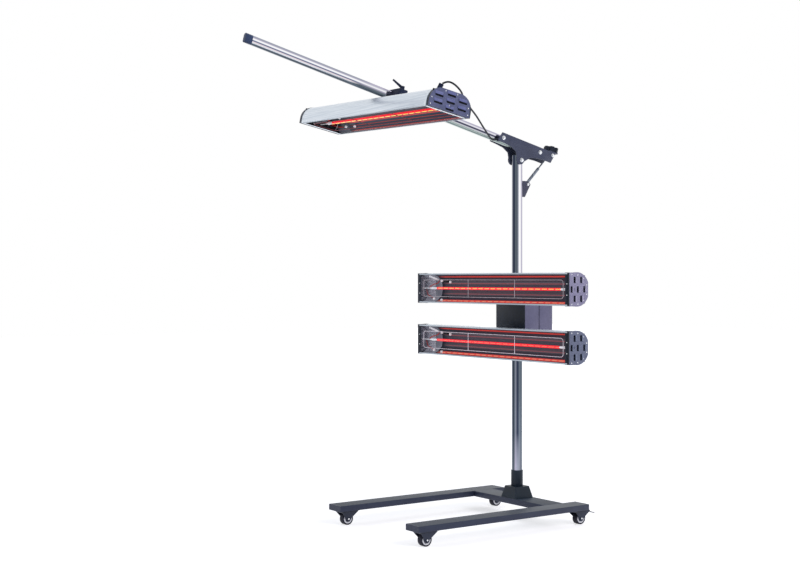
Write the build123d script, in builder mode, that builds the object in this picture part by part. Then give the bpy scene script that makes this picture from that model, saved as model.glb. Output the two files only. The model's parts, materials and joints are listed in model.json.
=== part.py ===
"""Mobile infrared paint curing lamp: a low U-shaped base on four casters, a chrome column, a sliding
carriage with two lamp heads and the control box, and a tilting boom that carries the third head.

Millimetres, +Z up. The legs, the lamp mouths and the boom all point to -Y.
"""

import os
from math import cos, radians, sin, tan

from build123d import *

os.makedirs("parts", exist_ok=True)

# Shared fits
running_fit = 0.08  # radial clearance of a turning pin or a sliding tube
body_gap = 0.3  # air between two pieces that move past each other
column_air = 5.0  # around the column where it passes the carriage cover

# Column
column_diameter = 50.0
column_wall = 2.0
pivot_height = 1687.6  # boom pivot above the floor
column_above_pivot = 24.0
column_cap_thickness = 3.0
column_plug_length = 54.0

# Base frame of flat rectangular tube
deck_height = 95.5
beam_height = 27.0
leg_width = 96.0
leg_spacing = 606.0  # between the two legs' centre lines
leg_reach_front = 830.0  # ahead of the column
leg_reach_rear = 134.0
beam_wall = 2.5
beam_corner = 3.0
crossbar_depth = 116.0
crossbar_setback = 2.0
plug_flange = 3.0
plug_depth = 18.0
plug_fit = 0.2

# Boot and collar at the column's foot
boot_foot = 110.0
boot_head = 84.0
boot_height = 53.0
boot_corner = 6.0
boot_fit = 0.1
collar_wall = 3.0
collar_height = 75.5
collar_chamfer = 1.0

# Casters
wheel_diameter = 56.0
wheel_width = 26.0
axle_diameter = 8.0
axle_head_diameter = 14.0
axle_head_thickness = 3.0
caster_trail = 16.0
caster_plate = 70.0
caster_plate_thickness = 3.0
caster_front_inset = 80.0  # swivel axis behind the leg's front end
caster_rear_inset = 35.0
king_pin_diameter = 12.0
king_pin_length = 4.0
yoke_head_width = 64.0
yoke_head_length = 84.0
yoke_head_offset = 14.0  # crown's centre from the swivel axis
yoke_foot_radius = 13.0
yoke_plate = 3.0
yoke_wheel_gap = 1.5
yoke_tyre_gap = 2.0
brake_width = 22.0
brake_reach = 50.0  # brake pin from the swivel axis
brake_pin_height = 52.0
brake_pin_diameter = 5.0
brake_hub_radius = 4.5
brake_ear = 3.0
brake_length = 54.0
brake_thickness = 3.5
brake_drop = 9.0
shoe_front = 6.5
shoe_foot = 14.0

# Lamp heads: mouth length, mouth width and depth to the arched back
side_head_length = 1112.0
side_head_width = 144.0
side_head_depth = 108.0
boom_head_length = 1006.0
boom_head_width = 216.0
boom_head_depth = 86.0
shell_wall = 2.5
cap_thickness = 14.0
cap_wall = 3.0
cap_proud = 1.5
flank_share = 0.28  # straight part of the flank, of the depth
crown_share = 0.42  # flat part of the back, of the half width
arc_share = 0.7071
reflector_sheet = 1.0
reflector_bend_shares = ((1.0, 0.12), (0.86, 0.38), (0.5, 0.62), (0.15, 0.66))
lamp_diameter = 12.0
socket_corner = 2.5
socket_length = 46.0
socket_width = 18.0
lamp_depth = 20.0
guard_wire = 3.0
guard_depth = 4.5
guard_length_share = 0.92
guard_width_share = 0.57
guard_corner_share = 0.2
guard_rung_share = 0.333
guard_rung_shift = 15.0  # both rungs sit this far towards +X
louvre_length_share = 0.2
louvre_height = 9.0
louvre_column_share = 0.286
louvre_side_shares = (0.265, 0.62)  # slot heights in the two outer columns, of the depth
louvre_middle_shares = (0.10, 0.44, 0.79)
peg_diameter = 9.0
peg_length = 5.0

# Carriage and control box
carriage_height = 955.0  # centre of the carriage above the floor
carriage_width = 211.0
carriage_tall = 300.0
carriage_front = 41.0  # ahead of the column's axis
carriage_seam = 46.0  # behind the axis, where the box joins
box_depth = 82.0
box_wall = 2.0
panel_thickness = 3.0
side_head_pitch = 254.0
side_mouth_front = 176.0  # mouth plane ahead of the column's axis
bush_height = 60.0
bush_width = 70.0
hinge_pin_diameter = 8.0
hinge_ear_radius = 9.0
hinge_ear_thickness = 5.0
hinge_knuckle_width = 36.0
hinge_foot_height = 56.0
hinge_foot_thickness = 3.0
side_head_tilt = 25.0  # degrees each way
lock_drop = 110.0  # lock screw below the carriage's centre
lock_knob_diameter = 44.0
lock_knob_thickness = 18.0
lock_screw_diameter = 10.0
lock_flute_radius = 4.5

# Controls on the rear panel
switch_width = 22.0
switch_height = 30.0
switch_depth = 20.0
switch_proud = 4.0
switch_pitch = 48.0
switch_rise = 70.0
switch_gap = 0.6
dial_diameter = 46.0
dial_thickness = 16.0
dial_taper = 6.0
dial_stem_diameter = 8.0
inlet_width = 50.0
inlet_height = 30.0
inlet_depth = 26.0
inlet_drop = 90.0
contactor_width = 60.0
contactor_height = 80.0
contactor_depth = 45.0

# Boom bracket: two side plates astride the column
plate_thickness = 4.0
plate_inner_gap = 56.0
bolt_diameter = 12.0
bolt_head_diameter = 21.0
bolt_head_thickness = 5.0
spacer_wall = 4.0
bracket_top = 26.8  # plates' top edge above the boom's centre line
bracket_edge = (
    (124.0, 26.8),
    (133.0, 7.4),
    (141.6, -16.3),
    (100.0, -19.0),
    (59.0, -22.6),
    (24.5, -36.8),
    (14.0, -60.0),
    (-9.8, -72.0),
    (-30.0, -72.0),
    (-65.7, -40.7),
    (-105.0, -30.0),
    (-145.5, -25.9),
    (-195.0, -26.0),
    (-214.0, 26.8),
)  # plate outline, along and above the boom
lobe_place = (-9.8, -64.3)
lobe_radius = 24.0
bracket_corner = 3.0
bridge_thickness = 4.0
bridge_length = 52.0
bridge_reach = -203.0
strut_bolt_diameter = 6.4
entry_bush = (12.0, 17.0, 16.0)
entry_place = (22.0, -129.5, 89.4)  # from the column's axis, above the boom pivot

# Boom
boom_rise = 13.9  # degrees above level, at rest
boom_line_rise = 68.4  # boom's centre line at the column's axis, above the pivot
boom_reach = 1503.0  # from the column's axis to the tip, along the boom
boom_tail = 134.0
boom_height = 40.0
boom_width = 24.0
boom_corner = 10.0
boom_wall = 1.8
boom_cap_length = 32.0
boom_cap_rim = 1.0
boom_plug_length = 8.0
front_bolt_reach = 113.5  # along the boom, ahead of the column's axis
rear_bolt_reach = 118.3
boom_bolt_rise = 2.9

# Boom head carriage
boom_head_reach = 781.8
boom_head_drop = 126.4  # mouth plane below the boom's centre line
boom_head_pitch = 3.3  # degrees, flatter than the boom
boom_head_roll = 1.34
clamp_width = 132.0
clamp_length = 39.0
clamp_front_reach = 750.0
clamp_above = 29.5
clamp_below = 70.0
clamp_corner = 5.0
lever_side = 45.0
lever_reach = 727.0
lever_hub_diameter = 17.0
lever_hub_height = 16.0
lever_pin_diameter = 8.0
lever_pin_length = 14.0
lever_arm_diameter = 13.0
lever_end_diameter = 8.0
lever_run = (-20.0, 46.0)  # lever tip from its hub, across and along the boom
lever_climb = 27.5
gland_side = 428.0
gland_width = 38.0
gland_length = 30.0
gland_back = 0.0
gland_height = 40.0

# Gas strut
strut_top_back = 195.6  # behind the column's axis
strut_top_rise = 32.8  # above the boom pivot
lug_bolt_back = 53.5
lug_bolt_drop = 110.6  # below the boom pivot
strut_diameter = 14.0
rod_diameter = 7.0
strut_body_length = 112.0
rod_length = 128.0
eye_radius = 10.5
eye_width = 12.0
foot_eye_radius = 9.0
strut_bore_start = 14.0
open_eye_clearance = 4.3
lug_width = 26.0
lug_wall = 4.0
lug_bolt_diameter = 8.0
lug_head_diameter = 13.0

# Boom lock knob
knob_reach = 207.0  # behind the column's axis, along the boom
knob_diameter = 70.0
knob_thickness = 25.0
knob_lobes = 6
knob_flute_radius = 8.0
knob_stem_diameter = 10.0
knob_stem_length = 4.3

# Boom cable
cable_diameter = 8.0
cable_bend_share = 0.45
cable_route = (
    (438.0, -760.0, 1927.0),
    (447.0, -722.0, 1929.0),
    (438.0, -672.0, 1908.0),
    (392.0, -630.0, 1893.0),
    (325.0, -545.0, 1867.0),
    (258.0, -455.0, 1845.0),
    (188.0, -368.0, 1818.0),
    (122.0, -281.0, 1788.0),
    (74.0, -222.0, 1773.0),
    (36.0, -178.0, 1771.0),
    (22.0, -156.0, 1777.0),
    (22.0, -138.0, 1777.0),
)  # from the gland to the bracket; the second value is from the column's axis

# The column stands behind the middle of the whole machine's length
rise = radians(boom_rise)
boom_tip_front = boom_reach * cos(rise) + boom_height / 2 * sin(rise)
knob_top = bracket_top + bridge_thickness + body_gap + knob_thickness
knob_rear = (knob_reach + knob_diameter / 2) * cos(rise) + knob_top * sin(rise)
column_y = (boom_tip_front - knob_rear) / 2

column_radius = column_diameter / 2
leg_x = leg_spacing / 2
beam_axis_height = deck_height - beam_height / 2
beam_underside = deck_height - beam_height
column_top = pivot_height + column_above_pivot
boom_line_height = pivot_height + boom_line_rise
strut_top_height = pivot_height + strut_top_rise
lug_bolt_height = pivot_height - lug_bolt_drop
plate_outer = plate_inner_gap / 2 + plate_thickness
bolt_radius = bolt_diameter / 2


def level(height):
    """A level plane whose origin is on the column's axis."""
    return Plane(origin=(0, column_y, height))


def facing_rear(x, y, height):
    """A plane that faces +Y, with its own y up."""
    return Plane(origin=(x, column_y + y, height), x_dir=(-1, 0, 0), z_dir=(0, 1, 0))


def along_x(x, y, height):
    """A plane that faces +X, with its own x along +Y and its own y up."""
    return Plane(origin=(x, column_y + y, height), x_dir=(0, 1, 0), z_dir=(1, 0, 0))


def facing_front(x, y, height):
    """A plane that faces -Y, with its own x along +X and its own y up."""
    return Plane(origin=(x, column_y + y, height), x_dir=(1, 0, 0), z_dir=(0, -1, 0))


boom_forward = Vector(0, -cos(rise), sin(rise))
boom_up = Vector(0, sin(rise), cos(rise))
boom_origin = Vector(0, column_y, boom_line_height)


def boom_point(side, reach, above):
    """A point by its distance across, along and above the boom's centre line."""
    return boom_origin + Vector(side, 0, 0) + boom_forward * reach + boom_up * above


def boom_section(reach):
    """A plane square to the boom: its x is +X and its y is up from the boom."""
    return Plane(origin=boom_point(0, reach, 0), x_dir=(1, 0, 0), z_dir=boom_forward)


def boom_side(x):
    """A plane along the boom: its x is forward along the boom and its y is up from it."""
    return Plane(origin=boom_point(x, 0, 0), x_dir=boom_forward, z_dir=(-1, 0, 0))


def boom_deck(side, reach, above):
    """A plane parallel to the boom's top: its x is +X and its y is back along the boom."""
    return Plane(origin=boom_point(side, reach, above), x_dir=(1, 0, 0), z_dir=boom_up)


def write(piece, label):
    piece.part.label = label
    export_step(piece.part, f"parts/{label}.step")


# Base frame
def leg(x, label):
    """One leg: a flat rectangular tube that runs the whole length of the base."""
    rear = leg_reach_rear - plug_flange
    length = leg_reach_front + leg_reach_rear - 2 * plug_flange
    with BuildPart() as tube:
        with BuildSketch(facing_front(x, rear, beam_axis_height)):
            RectangleRounded(leg_width, beam_height, beam_corner)
            Rectangle(leg_width - 2 * beam_wall, beam_height - 2 * beam_wall, mode=Mode.SUBTRACT)
        extrude(amount=length)
    write(tube, label)


leg(-leg_x, "leg_left")
leg(leg_x, "leg_right")

crossbar_length = leg_spacing - leg_width
with BuildPart() as crossbar:
    with BuildSketch(along_x(-crossbar_length / 2, crossbar_setback, beam_axis_height)):
        RectangleRounded(crossbar_depth, beam_height, beam_corner)
        Rectangle(crossbar_depth - 2 * beam_wall, beam_height - 2 * beam_wall, mode=Mode.SUBTRACT)
    extrude(amount=crossbar_length)
write(crossbar, "crossbar")

spigot_width = leg_width - 2 * beam_wall - 2 * plug_fit
spigot_height = beam_height - 2 * beam_wall - 2 * plug_fit
with BuildPart() as leg_end_plugs:
    for x in (-leg_x, leg_x):
        front_plane = facing_front(x, plug_flange - leg_reach_front, beam_axis_height)
        rear_plane = facing_front(x, leg_reach_rear - plug_flange, beam_axis_height)
        for plane, outward in ((front_plane, 1), (rear_plane, -1)):
            with BuildSketch(plane):
                RectangleRounded(leg_width, beam_height, beam_corner)
            extrude(amount=outward * plug_flange)
            with BuildSketch(plane):
                Rectangle(spigot_width, spigot_height)
            extrude(amount=-outward * plug_depth)
write(leg_end_plugs, "leg_end_plugs")

with BuildPart() as column_boot:
    with BuildSketch(level(deck_height)):
        RectangleRounded(boot_foot, boot_foot, boot_corner)
    with BuildSketch(level(deck_height + boot_height)):
        RectangleRounded(boot_head, boot_head, boot_corner)
    loft()
    with BuildSketch(level(deck_height)):
        Circle(column_radius + boot_fit)
    extrude(amount=boot_height, mode=Mode.SUBTRACT)
write(column_boot, "column_boot")

collar_foot = deck_height + boot_height
with BuildPart() as column_collar:
    with BuildSketch(level(collar_foot)):
        Circle(column_radius + collar_wall)
        Circle(column_radius + boot_fit, mode=Mode.SUBTRACT)
    extrude(amount=collar_height)
    chamfer(column_collar.edges().group_by(Axis.Z)[-1].sort_by(SortBy.RADIUS)[-1], collar_chamfer)
write(column_collar, "column_collar")

# Column, with the cross bore for the boom's pivot bolt
with BuildPart() as column_tube:
    with BuildSketch(level(deck_height)):
        Circle(column_radius)
        Circle(column_radius - column_wall, mode=Mode.SUBTRACT)
    extrude(amount=column_top - deck_height)
    with BuildSketch(along_x(0, 0, pivot_height)):
        Circle(bolt_radius)
    extrude(amount=column_diameter, both=True, mode=Mode.SUBTRACT)
write(column_tube, "column_tube")

spacer_radius = bolt_radius + spacer_wall
with BuildPart() as column_head:
    for side in (-1, 1):
        with BuildSketch(along_x(side * (column_radius - column_wall), 0, pivot_height)):
            Circle(spacer_radius)
            Circle(bolt_radius, mode=Mode.SUBTRACT)
        extrude(amount=side * (plate_inner_gap / 2 - column_radius + column_wall - body_gap))
    with BuildSketch(level(pivot_height - spacer_radius)):
        Circle(column_radius)
    extrude(amount=2 * spacer_radius, mode=Mode.SUBTRACT)
    with BuildSketch(level(column_top)):
        Circle(column_radius)
    extrude(amount=column_cap_thickness)
    fillet(column_head.edges().group_by(Axis.Z)[-1], column_cap_thickness / 2)
    with BuildSketch(level(column_top)):
        Circle(column_radius - column_wall)
    extrude(amount=-column_plug_length)
    with BuildSketch(along_x(0, 0, pivot_height)):
        Circle(bolt_radius)
    extrude(amount=column_diameter, both=True, mode=Mode.SUBTRACT)
write(column_head, "column_head")

bolt_seat = plate_outer + body_gap
with BuildPart() as pivot_bolt:
    with BuildSketch(along_x(0, 0, pivot_height)):
        Circle(bolt_radius)
    extrude(amount=bolt_seat, both=True)
    for side in (-1, 1):
        with BuildSketch(along_x(side * bolt_seat, 0, pivot_height)):
            Circle(bolt_head_diameter / 2)
        extrude(amount=side * bolt_head_thickness)
    fillet(pivot_bolt.edges().sort_by(Axis.X)[0], bolt_head_thickness / 2)
    fillet(pivot_bolt.edges().sort_by(Axis.X)[-1], bolt_head_thickness / 2)
write(pivot_bolt, "pivot_bolt")

# Lug on the back of the column for the strut's foot, with its bolt
lug_tail = lug_bolt_back + lug_head_diameter * 1.5
lug_top = lug_bolt_height + lug_head_diameter * 1.15
lug_foot = lug_bolt_height - lug_head_diameter * 4.7
lug_foot_back = lug_bolt_back - lug_head_diameter * 1.2
slot_front = column_radius + lug_wall
with BuildPart() as strut_lug:
    with BuildSketch(along_x(0, 0, 0)):
        with BuildLine():
            Polyline(
                (0, lug_foot),
                (lug_foot_back, lug_foot),
                (lug_tail, lug_bolt_height),
                (lug_bolt_back + lug_head_diameter / 2, lug_top),
                (0, lug_top),
                close=True,
            )
        make_face()
    extrude(amount=lug_width / 2, both=True)
    with BuildSketch(along_x(0, slot_front + lug_tail / 2, lug_bolt_height)):
        Rectangle(lug_tail, 2 * (lug_top - lug_foot))
    extrude(amount=lug_width / 2 - lug_wall, both=True, mode=Mode.SUBTRACT)
    with BuildSketch(level(0)):
        Circle(column_radius)
    extrude(amount=column_top, mode=Mode.SUBTRACT)
    with BuildSketch(along_x(0, lug_bolt_back, lug_bolt_height)):
        Circle(lug_bolt_diameter / 2)
    extrude(amount=lug_width / 2, both=True)
    for side in (-1, 1):
        with BuildSketch(along_x(side * lug_width / 2, lug_bolt_back, lug_bolt_height)):
            Circle(lug_head_diameter / 2)
        extrude(amount=side * lug_wall)
write(strut_lug, "strut_lug")

# Casters: the front pair trails forward and the rear pair, which has the brakes, trails back
wheel_radius = wheel_diameter / 2
axle_radius = axle_diameter / 2
front_caster_y = caster_front_inset - leg_reach_front
rear_caster_y = leg_reach_rear - caster_rear_inset
casters = (
    ("front_left", -leg_x, front_caster_y, -1),
    ("front_right", leg_x, front_caster_y, -1),
    ("rear_left", -leg_x, rear_caster_y, 1),
    ("rear_right", leg_x, rear_caster_y, 1),
)
yoke_top = beam_underside - caster_plate_thickness - body_gap
fork_inner = wheel_width / 2 + yoke_wheel_gap
fork_outer = fork_inner + yoke_plate
crown_underside = wheel_diameter + yoke_tyre_gap

with BuildPart() as caster_plates:
    for name, x, y, trail in casters:
        with BuildSketch(level(beam_underside)):
            with Locations((x, y)):
                RectangleRounded(caster_plate, caster_plate, beam_corner)
        extrude(amount=-caster_plate_thickness)
        with BuildSketch(level(beam_underside - caster_plate_thickness)):
            with Locations((x, y)):
                Circle(king_pin_diameter / 2)
        extrude(amount=-king_pin_length)
write(caster_plates, "caster_plates")


def caster_yoke(name, x, y, trail):
    """A pressed yoke that narrows from its crown to the axle bolt, with brake ears at the rear."""
    crown_y = y + trail * yoke_head_offset
    axle_y = y + trail * caster_trail
    with BuildPart() as yoke:
        with BuildSketch(facing_front(x, crown_y, 0)):
            with BuildLine():
                Polyline(
                    (-yoke_head_width / 2, yoke_top),
                    (yoke_head_width / 2, yoke_top),
                    (yoke_head_width / 2, yoke_top - yoke_plate),
                    (fork_outer, wheel_radius),
                    (fork_outer, 0),
                    (fork_inner, 0),
                    (fork_inner, wheel_radius),
                    (yoke_head_width / 2 - 2 * yoke_plate, crown_underside),
                    (2 * yoke_plate - yoke_head_width / 2, crown_underside),
                    (-fork_inner, wheel_radius),
                    (-fork_inner, 0),
                    (-fork_outer, 0),
                    (-fork_outer, wheel_radius),
                    (-yoke_head_width / 2, yoke_top - yoke_plate),
                    close=True,
                )
            make_face()
        extrude(amount=yoke_head_length / 2, both=True)
        crown_rise = yoke_top - wheel_radius
        crown_shift = crown_y - axle_y
        with BuildSketch(along_x(x, axle_y, wheel_radius)):
            with BuildLine():
                Polyline(
                    (crown_shift - yoke_head_length / 2, crown_rise),
                    (crown_shift + yoke_head_length / 2, crown_rise),
                    (crown_shift + yoke_head_length / 2, crown_rise - yoke_plate),
                    (yoke_foot_radius, 0),
                    (-yoke_foot_radius, 0),
                    (crown_shift - yoke_head_length / 2, crown_rise - yoke_plate),
                    close=True,
                )
            make_face()
            Circle(yoke_foot_radius)
        extrude(amount=yoke_head_width, both=True, mode=Mode.INTERSECT)
        with BuildSketch(level(yoke_top)):
            with Locations((x, y)):
                Circle(king_pin_diameter / 2 + running_fit)
        extrude(amount=-king_pin_length, mode=Mode.SUBTRACT)
        with BuildSketch(along_x(x, axle_y, wheel_radius)):
            Circle(axle_radius)
        extrude(amount=fork_outer, both=True)
        for side in (-1, 1):
            with BuildSketch(along_x(x + side * fork_outer, axle_y, wheel_radius)):
                Circle(axle_head_diameter / 2)
            extrude(amount=side * axle_head_thickness)
        if trail > 0:
            ear_height = crown_underside - brake_pin_height + yoke_tyre_gap
            ear_length = 3 * brake_hub_radius
            for side in (-1, 1):
                ear_x = x + side * (brake_width / 2 + body_gap)
                with BuildSketch(along_x(ear_x, y + brake_reach, brake_pin_height)):
                    Circle(brake_hub_radius)
                    with Locations((-ear_length / 2, ear_height / 2)):
                        Rectangle(ear_length, ear_height)
                extrude(amount=side * brake_ear)
            with BuildSketch(along_x(x, y + brake_reach, brake_pin_height)):
                Circle(brake_pin_diameter / 2)
            extrude(amount=brake_width / 2 + body_gap + brake_ear, both=True)
    write(yoke, f"caster_yoke_{name}")


def caster_wheel(name, x, y, trail):
    """A rubber-tyred wheel."""
    with BuildPart() as wheel:
        with BuildSketch(along_x(x, y + trail * caster_trail, wheel_radius)):
            Circle(wheel_radius)
        extrude(amount=wheel_width / 2, both=True)
        fillet(wheel.edges(), wheel_width / 5)
        with BuildSketch(along_x(x, y + trail * caster_trail, wheel_radius)):
            Circle(axle_radius + running_fit)
        extrude(amount=wheel_width, both=True, mode=Mode.SUBTRACT)
    write(wheel, f"caster_wheel_{name}")


def brake_pedal(name, x, y, trail):
    """A pedal on the rear caster, with a shoe below its pin that meets the tyre."""
    with BuildPart() as pedal:
        with BuildSketch(along_x(x, y + brake_reach, brake_pin_height)):
            Circle(brake_hub_radius)
            with BuildLine():
                Polyline(
                    (0, -brake_hub_radius),
                    (0, brake_hub_radius),
                    (brake_length / 3, brake_hub_radius),
                    (brake_length, brake_thickness - brake_drop),
                    (brake_length, -brake_drop),
                    (brake_length / 3, brake_hub_radius - brake_thickness),
                    close=True,
                )
            make_face()
            with BuildLine():
                Polyline(
                    (-brake_hub_radius / 2, 0),
                    (brake_hub_radius / 2, 0),
                    (0, -shoe_foot),
                    (-shoe_front, -shoe_foot),
                    close=True,
                )
            make_face()
        extrude(amount=brake_width / 2, both=True)
        with BuildSketch(along_x(x, y + brake_reach, brake_pin_height)):
            Circle(brake_pin_diameter / 2 + running_fit)
        extrude(amount=brake_width, both=True, mode=Mode.SUBTRACT)
    write(pedal, f"brake_pedal_{name}")


for caster in casters:
    caster_yoke(*caster)
    caster_wheel(*caster)
brake_pedal(*casters[2])
brake_pedal(*casters[3])


# Lamp heads. A head's own axes: x along its mouth, y across it, z out of its back.
def head_outline(width, depth, inset):
    """Edges of the arched section: straight flanks, round shoulders and a flat crown."""
    half = width / 2 - inset
    back = depth - inset
    flank = depth * flank_share
    crown = width / 2 * crown_share
    middle = (crown + arc_share * (half - crown), flank + arc_share * (back - flank))
    with BuildLine() as outline:
        Line((-half, 0), (half, 0))
        Line((half, 0), (half, flank))
        ThreePointArc((half, flank), middle, (crown, back))
        Line((crown, back), (-crown, back))
        ThreePointArc((-crown, back), (-middle[0], middle[1]), (-half, flank))
        Line((-half, flank), (-half, 0))
    return outline.edges()


def reflector_corners(width, depth, inset):
    """Corners of the folded reflector, from one lip round to the other."""
    half = width / 2 - shell_wall
    lip = guard_depth + guard_wire
    right = [(half - inset, lip)]
    for across_share, deep_share in reflector_bend_shares:
        right.append((half * across_share - inset, depth * deep_share - inset))
    return right + [(-across, deep) for across, deep in reversed(right)]


def lamp_head(prefix, mouth, length, width, depth, knuckle_reach):
    """Writes the pieces of one lamp head on the plane of its mouth."""
    section = Plane(origin=mouth.origin, x_dir=mouth.y_dir, z_dir=mouth.x_dir)
    shell_half = length / 2 - cap_thickness
    cap_inside = length / 2 - cap_wall

    with BuildPart() as housing:
        with BuildSketch(section):
            make_face(head_outline(width, depth, 0))
        extrude(amount=shell_half, both=True)
        with BuildSketch(section):
            make_face(head_outline(width, depth, shell_wall))
        extrude(amount=shell_half, both=True, mode=Mode.SUBTRACT)
        if knuckle_reach > 0:
            with BuildSketch(section):
                with Locations((0, depth + knuckle_reach)):
                    Circle(hinge_ear_radius)
                with Locations((0, depth + knuckle_reach / 2)):
                    Rectangle(2 * hinge_ear_radius, knuckle_reach)
            extrude(amount=hinge_knuckle_width / 2, both=True)
            with BuildSketch(section):
                with Locations((0, depth + knuckle_reach)):
                    Circle(hinge_pin_diameter / 2 + running_fit)
            extrude(amount=hinge_knuckle_width, both=True, mode=Mode.SUBTRACT)
    write(housing, f"{prefix}_housing")

    with BuildPart() as end_caps:
        for end in (-1, 1):
            with BuildSketch(section.offset(end * shell_half)):
                make_face(head_outline(width + 2 * cap_proud, depth + cap_proud, 0))
            extrude(amount=end * cap_thickness)
            with BuildSketch(section.offset(end * shell_half)):
                make_face(head_outline(width, depth, cap_wall))
            extrude(amount=end * (cap_thickness - cap_wall), mode=Mode.SUBTRACT)
            column = width * louvre_column_share
            slots = [(-column, share) for share in louvre_side_shares]
            slots += [(0, share) for share in louvre_middle_shares]
            slots += [(column, share) for share in louvre_side_shares]
            with BuildSketch(section.offset(end * shell_half)):
                with Locations(*[(across, depth * share) for across, share in slots]):
                    SlotOverall(width * louvre_length_share, louvre_height)
            extrude(amount=end * 2 * cap_thickness, mode=Mode.SUBTRACT)
            with BuildSketch(section.offset(end * length / 2)):
                with Locations((0, depth * flank_share)):
                    Circle(peg_diameter / 2)
            extrude(amount=end * peg_length)
    write(end_caps, f"{prefix}_end_caps")

    outer = reflector_corners(width, depth, 0)
    inner = reflector_corners(width, depth, reflector_sheet)
    with BuildPart() as reflector:
        with BuildSketch(section):
            with BuildLine():
                Polyline(*outer, *reversed(inner), close=True)
            make_face()
        extrude(amount=shell_half, both=True)
    write(reflector, f"{prefix}_reflector")

    glass_half = cap_inside - socket_length
    with BuildPart() as lamp:
        with BuildSketch(section):
            with Locations((0, lamp_depth)):
                Circle(lamp_diameter / 2)
        extrude(amount=glass_half, both=True)
        for end in (-1, 1):
            with BuildSketch(section.offset(end * glass_half)):
                with Locations((0, lamp_depth)):
                    RectangleRounded(socket_width, socket_width, socket_corner)
            extrude(amount=end * socket_length)
    write(lamp, f"{prefix}_lamp")

    guard_half = length * guard_length_share / 2
    guard_across = width * guard_width_share / 2
    guard_plane = mouth.offset(guard_depth)
    with BuildPart() as guard:
        with BuildLine(guard_plane) as loop:
            FilletPolyline(
                (-guard_half, -guard_across),
                (guard_half, -guard_across),
                (guard_half, guard_across),
                (-guard_half, guard_across),
                radius=width * guard_corner_share / 2,
                close=True,
            )
        with BuildSketch(Plane(origin=loop.wire() @ 0, z_dir=loop.wire() % 0)):
            Circle(guard_wire / 2)
        sweep(path=loop.wire())
        for share in (-guard_rung_share, guard_rung_share):
            rung_along = guard_half * share + guard_rung_shift
            rung_foot = guard_plane.from_local_coords((rung_along, -guard_across, 0))
            with BuildSketch(Plane(origin=rung_foot, z_dir=mouth.y_dir)):
                Circle(guard_wire / 2)
            extrude(amount=2 * guard_across)
        for end in (-1, 1):
            stub_foot = guard_plane.from_local_coords((end * guard_half, 0, 0))
            with BuildSketch(Plane(origin=stub_foot, z_dir=mouth.x_dir)):
                Circle(guard_wire / 2)
            extrude(amount=end * (cap_inside - guard_half))
    write(guard, f"{prefix}_guard")


head_gap = side_mouth_front - side_head_depth - carriage_front
upper_height = carriage_height + side_head_pitch / 2
lower_height = carriage_height - side_head_pitch / 2
for prefix, height in (("upper_head", upper_height), ("lower_head", lower_height)):
    mouth_origin = (0, column_y - side_mouth_front, height)
    mouth_plane = Plane(origin=mouth_origin, x_dir=(1, 0, 0), z_dir=(0, 1, 0))
    lamp_head(
        prefix, mouth_plane, side_head_length, side_head_width, side_head_depth, head_gap / 2
    )

boom_mouth = boom_deck(0, boom_head_reach, -boom_head_drop).rotated(
    (boom_head_pitch, boom_head_roll, 0)
)
lamp_head("boom_head", boom_mouth, boom_head_length, boom_head_width, boom_head_depth, 0)

# Carriage on the column: front cover, control box and guide bushes
carriage_foot = carriage_height - carriage_tall / 2
lock_height = carriage_height - lock_drop
half_width = carriage_width / 2
cover_middle = (carriage_seam - carriage_front) / 2
with BuildPart() as carriage_cover:
    with BuildSketch(level(carriage_foot)):
        with Locations((0, cover_middle)):
            Rectangle(carriage_width, carriage_front + carriage_seam)
    extrude(amount=carriage_tall)
    with BuildSketch(level(carriage_foot + box_wall)):
        with Locations((0, cover_middle + box_wall)):
            Rectangle(carriage_width - 2 * box_wall, carriage_front + carriage_seam)
    extrude(amount=carriage_tall - 2 * box_wall, mode=Mode.SUBTRACT)
    with BuildSketch(level(carriage_foot)):
        Circle(column_radius + column_air)
    extrude(amount=carriage_tall, mode=Mode.SUBTRACT)
    with BuildSketch(along_x(-half_width, 0, lock_height)):
        Circle(lock_screw_diameter / 2 + running_fit)
    extrude(amount=box_wall, mode=Mode.SUBTRACT)
write(carriage_cover, "carriage_cover")

with BuildPart() as control_box:
    with BuildSketch(level(carriage_foot)):
        with Locations((0, carriage_seam + box_depth / 2)):
            Rectangle(carriage_width, box_depth)
    extrude(amount=carriage_tall)
    with BuildSketch(level(carriage_foot + box_wall)):
        with Locations((0, carriage_seam + box_depth / 2 + box_wall)):
            Rectangle(carriage_width - 2 * box_wall, box_depth)
    extrude(amount=carriage_tall - 2 * box_wall, mode=Mode.SUBTRACT)
write(control_box, "control_box")

bush_front = carriage_front - box_wall
bush_feet = (carriage_foot + box_wall, carriage_foot + carriage_tall - box_wall - bush_height)
with BuildPart() as guide_bushes:
    for foot in bush_feet:
        with BuildSketch(level(foot)):
            with Locations((0, (carriage_seam - bush_front) / 2)):
                Rectangle(bush_width, carriage_seam + bush_front)
            Circle(column_radius + running_fit, mode=Mode.SUBTRACT)
        extrude(amount=bush_height)
    with BuildSketch(along_x(-bush_width / 2, 0, lock_height)):
        Circle(lock_screw_diameter / 2 + running_fit)
    extrude(amount=bush_width / 2, mode=Mode.SUBTRACT)
write(guide_bushes, "guide_bushes")

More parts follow.
